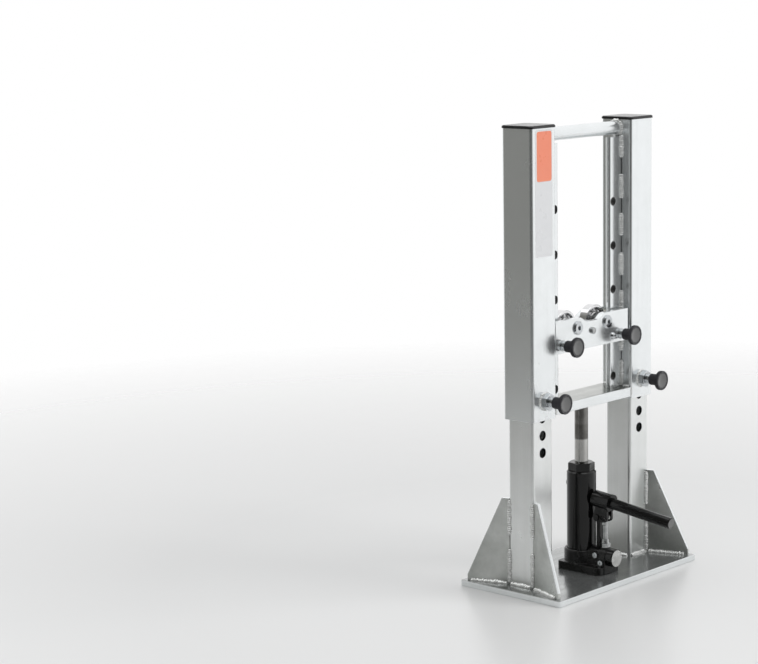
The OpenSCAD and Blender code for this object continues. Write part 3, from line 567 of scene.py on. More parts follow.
BLACK: tuple[Colour, Colour] = ((0.010, 0.010, 0.011), grey(0.06))
CAP_PLASTIC = Coating("cap_plastic", "black_plastic", *BLACK, (0.15, 0.26), 1500.0, bump=0.06)
BLACK_PLASTIC = Coating("black_plastic", "black_plastic", *BLACK, (0.20, 0.32), 1500.0, bump=0.10)
# Knob dishes: the black plastic made grey, as a painted reflection of the pale studio in the dish.
DISH_SHEEN = Coating(
    "knob_dish_painted_sheen", "black_plastic", grey(0.11), grey(0.18), (0.12, 0.20), 1500.0,
    bump=0.08, specular=0.8,
)
RUBBER = Coating("seal_rubber", "rubber", grey(0.02), grey(0.08), (0.6, 0.75), 800.0)
NYLON = Coating(
    "natural_nylon", "nylon", (0.72, 0.70, 0.63), (0.50, 0.48, 0.42), (0.38, 0.52), 700.0,
    bump=0.08,
)
STICKER_ORANGE = Coating(
    "sticker_orange", "black_plastic", (0.98, 0.30, 0.18), (0.98, 0.42, 0.30), (0.26, 0.36), 500.0,
    bump=0.04,
)
STICKER_PALE = Coating(
    "sticker_pale", "black_plastic", (0.83, 0.835, 0.845), (0.74, 0.74, 0.75), (0.26, 0.36), 500.0,
    bump=0.04,
)


def placed(name: str, data: ID) -> Object:
    """Put an object into the scene.

    Args:
        name: Its name.
        data: Its mesh, camera or lamp.

    Returns:
        The object.
    """
    made = bpy.data.objects.new(name, data)
    bpy.context.scene.collection.objects.link(made)
    return made


def show(name: str, mesh: Mesh, body: str) -> Object:
    """Put a finished mesh into the scene, riding on a body.

    Args:
        name: Name of the piece.
        mesh: Its mesh, already in place in the CAD frame.
        body: The CAD body that carries it.

    Returns:
        The piece's object.
    """
    piece = placed(name, mesh)
    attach(piece, body)
    LOG.info("%s rides on %s, %d faces", name, body, len(mesh.polygons))
    return piece


def frozen(work: Object) -> Mesh:
    """Take a plain mesh from an object, and remove the object.

    Args:
        work: The object with its modifiers.

    Returns:
        The mesh of its evaluated shape.
    """
    graph = bpy.context.evaluated_depsgraph_get()
    shape = work.evaluated_get(graph)
    mesh = bpy.data.meshes.new_from_object(shape, preserve_all_data_layers=True, depsgraph=graph)
    bpy.data.objects.remove(work)
    return mesh


@contextmanager
def edited(mesh: Mesh) -> Iterator[bmesh.types.BMesh]:
    """Open a mesh for editing, and write it back at the end.

    Args:
        mesh: The mesh.

    Yields:
        Its editable form.
    """
    bm = bmesh.new()
    bm.from_mesh(mesh)
    yield bm
    bm.to_mesh(mesh)
    bm.free()


def prism(bm: bmesh.types.BMesh, near: Sequence[Point], far: Sequence[Point]) -> None:
    """Add a closed prism between two outlines of as many points.

    Args:
        bm: The mesh that takes it.
        near: One outline, in millimetres.
        far: The other.
    """
    ends = [[bm.verts.new([c * MM for c in p]) for p in outline] for outline in (near, far)]
    bm.faces.new(ends[0][::-1])
    bm.faces.new(ends[1])
    for i in range(len(near)):
        bm.faces.new((ends[0][i - 1], ends[0][i], ends[1][i], ends[1][i - 1]))
    bmesh.ops.recalc_face_normals(bm, faces=bm.faces)


class Edge(Enum):
    """How a CAD node's copy is softened before it is shown."""

    ROUNDED = "rounded"
    CAST = "cast"
    PLAIN = "plain"


Pick = Callable[[Vector, Vector], bool]


@dataclass(frozen=True)
class Dress:
    """How one CAD node is shown: its finish, a second finish on picked faces, and its edges."""

    finish: Finish
    radius: float = 0.4
    accent: Finish | None = None
    pick: Pick | None = None
    edge: Edge = Edge.ROUNDED


@dataclass(frozen=True)
class Leans:
    """Limits on the part of a face's normal along Z, or along Y, from 0 to 1."""

    upright: float = 0.6
    slanting: float = 0.15
    wall: float = 0.5
    front: float = 0.9
    dish: float = 0.6


LEANS = Leans()


def upright(centre: Vector, normal: Vector) -> bool:
    """Tell whether a face stands upright, such as a plate's edge."""
    return abs(normal.z) < LEANS.upright


def slanting(centre: Vector, normal: Vector) -> bool:
    """Tell whether a face slants or lies, such as a gusset's sheared edge."""
    return abs(normal.z) > LEANS.slanting


def drilled(holes: Sequence[Span], radius: float) -> Pick:
    """Make a pick for the walls of holes bored along Y.

    Args:
        holes: Their axes as X and Z.
        radius: Largest distance of a wall face from its axis.

    Returns:
        A test of a face's centre and normal.
    """
    def in_hole(centre: Vector, normal: Vector) -> bool:
        """Tell whether a face lies in one of the holes."""
        near = any(math.hypot(centre.x - x, centre.z - z) < radius for x, z in holes)
        return near and abs(normal.y) < LEANS.wall

    return in_hole


def fronting(limit: float) -> Pick:
    """Make a pick for faces at the front.

    Args:
        limit: The Y that they lie in front of.

    Returns:
        A test of a face's centre and normal.
    """
    def at_front(centre: Vector, normal: Vector) -> bool:
        """Tell whether a face looks forwards from in front of the limit."""
        return -normal.y > LEANS.front and centre.y < limit

    return at_front


def dished(x: float, z: float, radius: float) -> Pick:
    """Make a pick for the dish in a knob's front.

    Args:
        x: X of the knob's axis.
        z: Its Z.
        radius: Radius of the dish.

    Returns:
        A test of a face's centre and normal.
    """
    def in_dish(centre: Vector, normal: Vector) -> bool:
        """Tell whether a face lies in the dish."""
        return -normal.y > LEANS.dish and math.hypot(centre.x - x, centre.z - z) < radius

    return in_dish


class NodeDresser:
    """Shows CAD nodes as merged copies with softened edges and full finishes."""

    smooth_angle = math.radians(32.0)
    flat_angle = math.radians(0.4)
    merge_reach = 2e-6
    sliver_reach = 4e-6
    bevel_steps = 2
    voxel = 0.7
    relax_share = 0.5
    relax_steps_per_mm = 4

    def __init__(self, record: dict) -> None:
        """Read which body carries which node."""
        groups = record["behaviour"]["bodies"]
        self.body_of = {node: body for body, nodes in groups.items() for node in nodes}

    def merged(self, node: str) -> Mesh:
        """Merge a node's loose triangles into flat faces.

        Args:
            node: The CAD node.

        Returns:
            A merged copy of its mesh.
        """
        mesh = frame["nodes"][node].data.copy()
        mesh.materials.clear()
        with edited(mesh) as bm:
            bmesh.ops.remove_doubles(bm, verts=bm.verts, dist=self.merge_reach)
            bmesh.ops.dissolve_limit(
                bm, angle_limit=self.flat_angle, use_dissolve_boundaries=False,
                verts=bm.verts, edges=bm.edges, delimit=set(),
            )
            for face in bm.faces:
                face.material_index = 0
                face.smooth = True
        return mesh

    def rounded(self, work: Object, radius: float) -> None:
        """Round an object's edges.

        Args:
            work: The object.
            radius: The rounding.
        """
        bevel = work.modifiers.new("round", "BEVEL")
        bevel.width = radius * MM
        bevel.segments = self.bevel_steps
        bevel.limit_method = "ANGLE"
        bevel.angle_limit = self.smooth_angle
        bevel.miter_outer = "MITER_ARC"
        bevel.use_clamp_overlap = True

    def cast(self, work: Object, radius: float) -> None:
        """Give an object the soft skin of a casting.

        Args:
            work: The object.
            radius: About how far its edges are rounded.
        """
        remesh = work.modifiers.new("skin", "REMESH")
        remesh.mode = "VOXEL"
        remesh.voxel_size = self.voxel * MM
        remesh.use_smooth_shade = True
        relax = work.modifiers.new("relax", "SMOOTH")
        relax.factor = self.relax_share
        relax.iterations = max(1, round(radius * self.relax_steps_per_mm))

    def softened(self, node: str, dress: Dress) -> Mesh:
        """Soften a node's edges or its whole skin.

        Args:
            node: The CAD node.
            dress: How it is shown.

        Returns:
            The softened copy, without the slivers that rounded edges leave where they meet.
        """
        work = placed(node + ".work", self.merged(node))
        if dress.edge is Edge.CAST:
            self.cast(work, dress.radius)
            return frozen(work)
        if dress.edge is Edge.ROUNDED:
            self.rounded(work, dress.radius)
        mesh = frozen(work)
        with edited(mesh) as bm:
            bmesh.ops.dissolve_degenerate(bm, dist=self.sliver_reach, edges=bm.edges)
        mesh.set_sharp_from_angle(angle=self.smooth_angle)
        work = placed(node + ".weigh", mesh)
        work.modifiers.new("weigh", "WEIGHTED_NORMAL").keep_sharp = True
        return frozen(work)

    def dress(self, node: str, dress: Dress) -> None:
        """Show one node.

        Args:
            node: The CAD node.
            dress: How it is shown.
        """
        mesh = self.softened(node, dress)
        mesh.name = node + "_skin"
        mesh.materials.append(dress.finish.material())
        if dress.accent:
            mesh.materials.append(dress.accent.material())
        for face in mesh.polygons:
            picked = bool(dress.accent) and dress.pick(face.center / MM, face.normal)
            face.material_index = int(picked)
        piece = show(node + "_skin", mesh, self.body_of[node])
        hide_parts(node)

    def dress_all(self, dresses: dict[str, Dress]) -> None:
        """Show each node in its dress."""
        for node, dress in dresses.items():
            self.dress(node, dress)


class NodeTool:
    """A Geometry Nodes tree with named inputs that makes a finished piece of a mesh."""

    def __init__(self, name: str, takes: dict[str, str]) -> None:
        """Build the tree once: its sockets, its shape, real meshes and their finish.

        Args:
            name: Name of the tree.
            takes: Its own inputs with their kinds; the mesh and the finish are added.
        """
        self.tree = bpy.data.node_groups.new(name, "GeometryNodeTree")
        face = self.tree.interface
        self.sockets: dict[str, str] = {}
        for label, kind in {"Geometry": "Geometry", **takes, "Finish": "Material"}.items():
            socket = face.new_socket(label, in_out="INPUT", socket_type="NodeSocket" + kind)
            self.sockets[label] = socket.identifier
        face.new_socket("Geometry", in_out="OUTPUT", socket_type="NodeSocketGeometry")
        self.graph = Graph(self.tree)
        self.given = self.graph.add("NodeGroupInput").outputs
        real = self.graph.first("GeometryNodeRealizeInstances", {0: self.shape()})
        finish = {"Geometry": real, "Material": self.given["Finish"]}
        self.graph.add("NodeGroupOutput", {0: self.graph.first("GeometryNodeSetMaterial", finish)})

    def shape(self) -> NodeSocket:
        """Return the shape; each tool says how."""
        raise NotImplementedError

    def wire(self, sides: int, radius: object) -> NodeSocket:
        """Return a circle to sweep along a curve."""
        size = {"Resolution": sides, "Radius": radius}
        return self.graph.first("GeometryNodeCurvePrimitiveCircle", size, mode="RADIUS")

    def run(self, mesh: Mesh, body: str, finish: Finish, sizes: dict[str, float]) -> None:
        """Show what the tree makes of a mesh.

        Args:
            mesh: The mesh, which has the piece's name.
            body: The CAD body that carries the piece.
            finish: Its finish.
            sizes: The tree's own inputs.
        """
        name = mesh.name
        work = placed(name + ".work", mesh)
        nodes = work.modifiers.new("nodes", "NODES")
        nodes.node_group = self.tree
        for label, value in {**sizes, "Finish": finish.material()}.items():
            nodes[self.sockets[label]] = value
        show(name, frozen(work), body)


@dataclass(frozen=True)
class Seam:
    """One weld run: its corner line, the way its bead faces at each point, its width."""

    path: tuple[Point, ...]
    leans: tuple[Point, ...]
    width: float = 6.0
    closed: bool = False


class WeldBeads(NodeTool):
    """Weld beads laid along seams: overlapping ripples on a solid core.

    Shares are of the bead's width, apart from the ripples' length, which is of their pitch.
    """

    pitch = 2.9
    seed = 7
    lift_share = 0.10
    stray_share = 0.05
    core_share = 0.27
    core_sides = 8
    ripple_length = 1.05
    ripple_width = 0.54
    ripple_height = 0.40
    ripple_faces = {"Segments": 12, "Rings": 7, "Radius": 1.0}
    uneven: Span = (0.84, 1.12)
    tilt = math.radians(30.0)
    ends_from = 0.80
    end_size = 0.84

    def __init__(self) -> None:
        """Build the tree once."""
        super().__init__("weld_beads", {"Pitch": "Float", "Seed": "Int"})

    def named(self, name: str, kind: str) -> NodeSocket:
        """Return a named attribute of the seam's points."""
        node = self.graph.add("GeometryNodeInputNamedAttribute", {"Name": name}, data_type=kind)
        return node.outputs["Attribute"]

    def shape(self) -> NodeSocket:
        """Lay the core and the ripples.

        Returns:
            Both, shaded smooth.
        """
        graph, given = self.graph, self.given
        width = self.named("bead_width", "FLOAT")
        lean = self.named("bead_lean", "FLOAT_VECTOR")
        path = graph.first("GeometryNodeMeshToCurve", {"Mesh": given["Geometry"]})
        steps = {"Curve": path, "Length": given["Pitch"]}
        line = graph.first("GeometryNodeResampleCurve", steps, mode="LENGTH")
        out = graph.vector("SCALE", lean, graph.product(width, self.lift_share))
        low, high = (-self.stray_share,) * 3, (self.stray_share,) * 3
        limits = {0: low, 1: high, "Seed": given["Seed"]}
        stray = graph.first("FunctionNodeRandomValue", limits, data_type="FLOAT_VECTOR")
        shift = graph.vector("ADD", out, graph.vector("SCALE", stray, width))
        line = graph.first("GeometryNodeSetPosition", {"Geometry": line, "Offset": shift})
        core = graph.first("GeometryNodeCurveToMesh", {
            "Curve": line,
            "Profile Curve": self.wire(self.core_sides, 1.0),
            "Fill Caps": True,
            "Scale": graph.product(width, self.core_share),
        })
        both = graph.add("GeometryNodeJoinGeometry", {0: self.ripples(line, width, lean)})
        graph.fill(both, {0: core})
        return graph.first("GeometryNodeSetShadeSmooth", {"Geometry": both.outputs[0]})

    def ripples(self, points: NodeSocket, width: NodeSocket, lean: NodeSocket) -> NodeSocket:
        """Lay one flattened, tilted ripple on each point, smaller towards the ends of its run.

        Args:
            points: The points along the seams.
            width: The bead's width.
            lean: The way that the bead faces.

        Returns:
            The ripples.
        """
        graph, align = self.graph, "FunctionNodeAlignRotationToVector"
        tangent = graph.first("GeometryNodeInputTangent")
        along = graph.first(align, {"Vector": tangent}, axis="X")
        facing = {"Rotation": along, "Vector": lean}
        facing = graph.first(align, facing, axis="Z", pivot_axis="X")
        tilt = graph.first("FunctionNodeEulerToRotation", {0: (0.0, self.tilt, 0.0)})
        pair = {0: facing, 1: tilt}
        turned = graph.first("FunctionNodeRotateRotation", pair, rotation_space="LOCAL")
        reach = graph.add("GeometryNodeSplineParameter").outputs["Factor"]
        off_middle = graph.math("SUBTRACT", graph.product(reach, 2.0), 1.0)
        off_middle = graph.math("ABSOLUTE", off_middle, 0.0)
        ends = graph.span(off_middle, self.ends_from, 1.0, 1.0, self.end_size)
        limits = {2: self.uneven[0], 3: self.uneven[1], "Seed": self.given["Seed"]}
        uneven = graph.add("FunctionNodeRandomValue", limits, data_type="FLOAT").outputs[1]
        size = graph.product(graph.product(width, uneven), ends)
        scale = graph.first("ShaderNodeCombineXYZ", {
            "X": graph.product(graph.product(self.given["Pitch"], self.ripple_length), ends),
            "Y": graph.product(size, self.ripple_width),
            "Z": graph.product(size, self.ripple_height),
        })
        ripple = graph.first("GeometryNodeMeshUVSphere", self.ripple_faces)
        spread = {"Points": points, "Instance": ripple, "Rotation": turned, "Scale": scale}
        return graph.first("GeometryNodeInstanceOnPoints", spread)

    def lay(self, name: str, seams: Iterable[Seam], body: str) -> None:
        """Lay beads along seams.

        Args:
            name: Name of the piece.
            seams: The weld runs.
            body: The CAD body that carries them.
        """
        points, edges, leans, widths = [], [], [], []
        for seam in seams:
            first, count = len(points), len(seam.path)
            points += [Vector(p) * MM for p in seam.path]
            edges += [(first + i, first + i + 1) for i in range(count - 1)]
            if seam.closed:
                edges.append((len(points) - 1, first))
            facing = [Vector(lean).normalized() for lean in seam.leans]
            leans += facing if len(facing) == count else facing[:1] * count
            widths += [seam.width * MM] * count
        mesh = bpy.data.meshes.new(name)
        mesh.from_pydata(points, edges, [])
        facings = mesh.attributes.new("bead_lean", "FLOAT_VECTOR", "POINT")
        facings.data.foreach_set("vector", [c for lean in leans for c in lean])
        mesh.attributes.new("bead_width", "FLOAT", "POINT").data.foreach_set("value", widths)
        self.run(mesh, body, WELD, {"Pitch": self.pitch * MM, "Seed": self.seed})


class Threads(NodeTool):
    """Screw threads: a fine ridge along a helix about an axis along Y."""

    ridge = 0.55
    ridge_sides = 5
    steps_per_turn = 28
    lay_down: Point = (math.radians(90.0), 0.0, 0.0)

    def __init__(self) -> None:
        """Build the tree once."""
        sizes = ("Radius", "Length", "Turns", "Ridge")
        super().__init__("screw_threads", dict.fromkeys(sizes, "Float"))

    def shape(self) -> NodeSocket:
        """Sweep the ridge along a helix at each point.

        Returns:
            The ridges.
        """
        graph, given = self.graph, self.given
        helix = graph.first("GeometryNodeCurveSpiral", {
            "Resolution": self.steps_per_turn,
            "Rotations": given["Turns"],
            "Height": given["Length"],
            "Start Radius": given["Radius"],
            "End Radius": given["Radius"],
        })
        lying = {"Geometry": helix, "Rotation": self.lay_down}
        helix = graph.first("GeometryNodeTransform", lying)
        spread = {"Points": given["Geometry"], "Instance": helix}
        lines = graph.first("GeometryNodeInstanceOnPoints", spread)
        return graph.first("GeometryNodeCurveToMesh", {
            "Curve": graph.first("GeometryNodeRealizeInstances", {0: lines}),
            "Profile Curve": self.wire(self.ridge_sides, given["Ridge"]),
            "Fill Caps": True,
        })

    def wind(
        self, name: str, body: str, starts: Sequence[Point],
        radius: float, length: float, turns: float,
    ) -> None:
        """Wind threads towards -Y.

        Args:
            name: Name of the piece.
            body: The CAD body that carries them.
            starts: Where each thread's axis begins.
            radius: Outer radius of the ridge.
            length: Length of the thread.
            turns: Number of turns.
        """
        mesh = bpy.data.meshes.new(name)
        mesh.from_pydata([Vector(p) * MM for p in starts], [], [])
        self.run(mesh, body, FITTING, {
            "Radius": (radius - self.ridge) * MM,
            "Length": length * MM,
            "Turns": turns,
            "Ridge": self.ridge * MM,
        })


def arc(
    centre: Point, radius: float, u: Point, v: Point, start: float, end: float, steps: int
) -> tuple[Point, ...]:
    """Find points on an arc.

    Args:
        centre: Its centre.
        radius: Its radius.
        u: Unit direction at 0 degrees.
        v: Unit direction at 90 degrees.
        start: First angle in degrees.
        end: Last angle in degrees.
        steps: Number of steps.

    Returns:
        The points from start to end.
    """
    found = []
    for i in range(steps + 1):
        a = math.radians(start + (end - start) * i / steps)
        spokes = (math.cos(a) * p + math.sin(a) * q for p, q in zip(u, v))
        found.append(tuple(c + radius * spoke for c, spoke in zip(centre, spokes)))
    return tuple(found)


@dataclass
class Stand:
    """Base plate, posts and gussets, with the welds between them."""

    post_x: float = 128.5
    post_half: float = 25.0
    corner: float = 5.0
    plate_top: float = 10.0
    gusset_tip: Span = (175.0, 93.0)
    gusset_half: float = 3.0
    stitches: tuple[Span, ...] = ((15.0, 66.0), (94.0, 146.0))
    stitch_width: float = 8.0
    foot_width: float = 10.5
    root_gap: float = 6.0
    tip_gap: float = 9.0
    side_gap: float = 7.0
    first_hole: float = 227.0
    hole_step: float = 28.0
    hole_count: int = 5
    hole_r: float = 8.4

    def seams(self) -> list[Seam]:
        """Find the weld runs on the posts' feet and along the gussets.

        Returns:
            The runs.
        """
        runs, foot_z = [], self.plate_top
        root = Vector((self.post_x + self.post_half - self.corner, self.post_half - self.corner))
        tip = Vector(self.gusset_tip)
        along = (tip - root).normalized()
        across = Vector((-along.y, along.x))
        for sx in SIDES:
            for sy in SIDES:
                for side, wall in ((-1, Vector((1.0, 0.0))), (1, Vector((0.0, 1.0)))):
                    out = across * side
                    near = root + along * self.corner + out * self.gusset_half
                    begin = near + along * self.root_gap
                    far = tip - along * self.tip_gap + out * self.gusset_half
                    valley = wall + out
                    lean = (sx * valley.x, sy * valley.y, 0.0)
                    for ends in self.stitches:
                        line = tuple((sx * near.x, sy * near.y, z) for z in ends)
                        runs.append(Seam(line, (lean,), self.stitch_width))
                    foot = tuple((sx * p.x, sy * p.y, foot_z) for p in (begin, far))
                    runs.append(Seam(foot, ((sx * out.x, sy * out.y, 1.0),), self.foot_width))
            for side in SIDES:
                y = side * self.post_half
                inner = sx * (self.post_x - self.post_half + self.root_gap)
                outer = sx * (self.post_x + self.post_half - self.tip_gap)
                foot = ((inner, y, foot_z), (outer, y, foot_z))
                runs.append(Seam(foot, ((0, side, 1),), self.foot_width))
                x, reach = sx * self.post_x + side * self.post_half, self.post_half - self.side_gap
                foot = ((x, -reach, foot_z), (x, reach, foot_z))
                runs.append(Seam(foot, ((side, 0, 1),), self.foot_width))
        return runs

    def build(self, dresser: NodeDresser, welds: WeldBeads) -> None:
        """Dress the nodes and lay the welds.

        Args:
            dresser: Shows the nodes.
            welds: Lays the beads.
        """
        # The plate's top takes the darkened zinc as painted shade; its upright edges keep the light
        # zinc.
        dresser.dress("base_plate", Dress(PLATE_SHADE, 0.8, FLAT_BAR, upright))
        heights = [self.first_hole + i * self.hole_step for i in range(self.hole_count)]
        # The posts take the darkened zinc as painted shade.
        for name, sx in (("left_post", -1), ("right_post", 1)):
            holes = drilled([(sx * self.post_x, z) for z in heights], self.hole_r)
            # The bores' walls take the near-black painted shade.
            dresser.dress(name, Dress(POST_SHADE, 0.4, HOLE_SHADE, holes))
        # The gussets' slanting edges take the light zinc as a painted highlight.
        dresser.dress("gussets", Dress(GUSSET, 0.6, FLAT_BAR, slanting))
        welds.lay("stand_welds", self.seams(), "base")


@dataclass
class LiftingFrame:
    """Sleeves, caps, cross bar, grip and drilled rails, with the welds between them."""

    face_x: float = 98.5
    post_x: float = 128.5
    front_y: float = -30.0
    rail_sides: tuple[tuple[float, int], ...] = ((-10.5, -1), (-0.5, 1))
    rail_hole_x: float = 76.5
    rail_holes: tuple[float, ...] = (320.0, 392.0, 464.0, 536.0, 608.0)
    rail_hole_r: float = 7.4
    bar: Span = (284.0, 300.0)
    bar_width: float = 7.0
    bar_gap: float = 6.0
    bar_end: Point = (1.5, 2.0, 3.0)
    grip_z: float = 726.5
    grip_r: float = 11.0
    grip_width: float = 8.0
    nut_z: float = 311.0
    nut_r: float = 12.6
    nut_width: float = 5.0
    ring_end: float = 345.0
    ring_steps: int = 23
    stitches: tuple[Span, ...] = (
        (303.0, 342.0), (362.0, 394.0), (425.0, 457.0), (488.0, 520.0), (553.0, 585.0),
        (614.0, 649.0), (680.0, 712.0),
    )
    stitch_width: float = 9.5
    gap_z: Span = (302.0, 711.0)
    gap_leg: float = 0.9
    sticker_x: Span = (-149.5, -107.5)
    sticker_z: Span = (540.0, 737.5)
    sticker_thick: float = 0.15
    block_x: Span = (-146.0, -109.5)
    block_z: Span = (657.5, 735.0)
    block_thick: float = 0.25
    sticker_corner: float = 4.0
    corner_steps: int = 6
    dresses: dict[str, Dress] = field(default_factory=lambda: {
        "left_sleeve": Dress(TUBE, 0.4),
        "right_sleeve": Dress(TUBE, 0.4),
        "left_cap": Dress(CAP_PLASTIC, 0.6),
        "right_cap": Dress(CAP_PLASTIC, 0.6),
        # The bar's top and bottom take the darkened zinc as painted shade; its upright faces keep
        # the light zinc.
        "cross_bar": Dress(BAR_TOP_SHADE, 0.8, FLAT_BAR, upright),
        "top_grip": Dress(FLAT_BAR, 0.3),
        "plunger_nuts": Dress(FITTING, 0.5),
        "frame_bushes": Dress(FITTING, 0.3),
        "frame_springs": Dress(FASTENER, edge=Edge.PLAIN),
    })

    def ring(self, centre: Point, radius: float, u: Point, out: Point, width: float) -> Seam:
        """Find a run round a circle.

        Args:
            centre: Its centre.
            radius: Its radius.
            u: The level direction across it.
            out: The way that it faces.
            width: Width of the bead.

        Returns:
            The closed run, which leans half outwards.
        """
        turn = (u, ALONG_Z, 0.0, self.ring_end, self.ring_steps)
        leans = tuple(tuple(Vector(p) + Vector(out)) for p in arc(ORIGIN, 1.0, *turn))
        return Seam(arc(centre, radius, *turn), leans, width, closed=True)

    def seams(self) -> list[Seam]:
        """Find the stitches along the rails and the runs at the bar, the grip and the nuts.

        Returns:
            The runs.
        """
        runs = []
        (low, high), gap = self.bar, self.bar_gap
        (front, _), (rear, _) = self.rail_sides
        for sx in SIDES:
            x = sx * self.face_x
            for y, out in self.rail_sides:
                for ends in self.stitches[:: 1 if out < 0 else 2]:
                    line = tuple((x, y, z) for z in ends)
                    runs.append(Seam(line, ((-sx, out, 0),), self.stitch_width))
            for z, up in ((low, -1), (high, 1)):
                for ends in ((self.front_y + gap, front - gap), (rear + gap, -self.front_y - gap)):
                    line = tuple((x, y, z) for y in ends)
                    runs.append(Seam(line, ((-sx, 0, up),), self.bar_width))
            in_x, in_y, in_z = self.bar_end
            for side in SIDES:
                corner = (x + sx * in_x, side * (-self.front_y - in_y))
                line = ((*corner, low + in_z), (*corner, high - in_z))
                runs.append(Seam(line, ((0, side, 0),), self.bar_width))
            grip, nut = (x, 0.0, self.grip_z), (sx * self.post_x, self.front_y, self.nut_z)
            runs.append(self.ring(grip, self.grip_r, ALONG_Y, (-sx, 0, 0), self.grip_width))
            runs.append(self.ring(nut, self.nut_r, ALONG_X, (0, -1, 0), self.nut_width))
        return runs

    def joint_shade(self) -> None:
        """Lay dark strips in the corners between the rails and the sleeves, between the stitches,
        as painted shade in the joints.
        """
        mesh, leg = bpy.data.meshes.new("rail_joint_shade"), self.gap_leg
        with edited(mesh) as bm:
            for sx in SIDES:
                x = sx * self.face_x
                for y, out in self.rail_sides:
                    corner = ((x, y), (x - sx * leg, y), (x, y + out * leg))
                    prism(bm, *([(*c, z) for c in corner] for z in self.gap_z))
        mesh.materials.append(HOLE_SHADE.material())
        show("rail_joint_shade", mesh, "lift_frame")

    def panel(self, name: str, x: Span, z: Span, thick: float, finish: Finish) -> None:
        """Lay a blank sticker panel with rounded corners on the left sleeve's front.

        Args:
            name: Name of the piece.
            x: Its two sides.
            z: Its bottom and top.
            thick: How far its face stands off the sleeve.
            finish: Its finish.
        """
        radius, outline = self.sticker_corner, []
        (left, right), (bottom, top) = x, z
        for cx, cz, start in (
            (right - radius, top - radius, 0), (left + radius, top - radius, 90),
            (left + radius, bottom + radius, 180), (right - radius, bottom + radius, 270),
        ):
            turn = (ALONG_X, ALONG_Z, start, start + 90, self.corner_steps)
            outline += arc((cx, self.front_y, cz), radius, *turn)
        mesh = bpy.data.meshes.new(name)
        with edited(mesh) as bm:
            prism(bm, outline, [(px, py - thick, pz) for px, py, pz in outline])
        mesh.materials.append(finish.material())
        show(name, mesh, "lift_frame")

    def build(self, dresser: NodeDresser, welds: WeldBeads) -> None:
        """Dress the nodes, lay the welds and put on the blank sticker.

        Args:
            dresser: Shows the nodes.
            welds: Lays the beads.
        """
        dresser.dress_all(self.dresses)
        for name, sx in (("left_rail", -1), ("right_rail", 1)):
            holes = drilled([(sx * self.rail_hole_x, z) for z in self.rail_holes], self.rail_hole_r)
            # The rails' bores take the near-black painted shade.
            dresser.dress(name, Dress(RAIL, 0.5, HOLE_SHADE, holes))
        welds.lay("frame_welds", self.seams(), "lift_frame")
        # Dark strips as painted shade in the rails' joints.
        self.joint_shade()
        ground = (self.sticker_x, self.sticker_z, self.sticker_thick)
        self.panel("sticker_ground", *ground, STICKER_PALE)
        self.panel("sticker_block", self.block_x, self.block_z, self.block_thick, STICKER_ORANGE)


@dataclass
class Carriage:
    """Roller carriage: plates, bearings, pads, edge guides and bolts."""

    dresses: dict[str, Dress] = field(default_factory=lambda: {
        "front_plate": Dress(FLAT_BAR, 0.6),
        "rear_plate": Dress(FLAT_BAR, 0.6),
        "front_pads": Dress(NYLON, 0.4),
        "rear_pads": Dress(NYLON, 0.4),
        "axle_bolts": Dress(FITTING, 0.3),
        "axle_bushes": Dress(FASTENER, 0.3),
        "axle_washers": Dress(FITTING, 0.2),
        "inner_rings": Dress(BEARING, 0.2),
        "bearing_balls": Dress(CHROME, edge=Edge.PLAIN),
        "left_roller": Dress(BEARING, 0.2),
        "right_roller": Dress(BEARING, 0.2),
        "edge_guides": Dress(NYLON, 0.4),
        "guide_screws": Dress(FITTING, 0.2),
        "centre_bolt": Dress(FASTENER, 0.25),
        "centre_spacer": Dress(FITTING, 0.3),
        "plate_nuts": Dress(FASTENER, 0.4),
        "carriage_bushes": Dress(FITTING, 0.3),
        "carriage_springs": Dress(FASTENER, edge=Edge.PLAIN),
    })

    def build(self, dresser: NodeDresser) -> None:
        """Dress the nodes."""
        dresser.dress_all(self.dresses)


@dataclass
class Plungers:
    """Lock plungers: pins, and mushroom knobs whose dished faces are painted grey as a painted
    reflection.
    """

    face_r: float = 12.6
    thread_r: float = 7.74
    thread_length: float = 6.6
    thread_turns: float = 4.0
    necks: tuple[tuple[str, str, str, float], ...] = (
        ("frame_neck_threads", "_frame", "lift_frame", -42.4),
        ("carriage_neck_threads", "_carriage", "carriage", -26.4),
    )
    places: dict[str, Span] = field(default_factory=lambda: {
        "left_frame": (-128.5, 311.0),
        "right_frame": (128.5, 311.0),
        "left_carriage": (-76.5, 392.0),
        "right_carriage": (76.5, 392.0),
    })

    def build(self, dresser: NodeDresser, threads: Threads) -> None:
        """Wind the threads on the necks, and dress each plunger's pin and knob.

        Args:
            dresser: Shows the nodes.
            threads: Winds the threads.
        """
        thread = (self.thread_r, self.thread_length, self.thread_turns)
        for name, kind, body, y in self.necks:
            starts = [(x, y, z) for side, (x, z) in self.places.items() if side.endswith(kind)]
            threads.wind(name, body, starts, *thread)
        for side, (x, z) in self.places.items():
            dresser.dress(side + "_pin", Dress(FITTING, 0.2))
            dish = dished(x, z, self.face_r)
            # The dish takes the grey painted reflection.
            dresser.dress(side + "_knob", Dress(BLACK_PLASTIC, 0.5, DISH_SHEEN, dish))


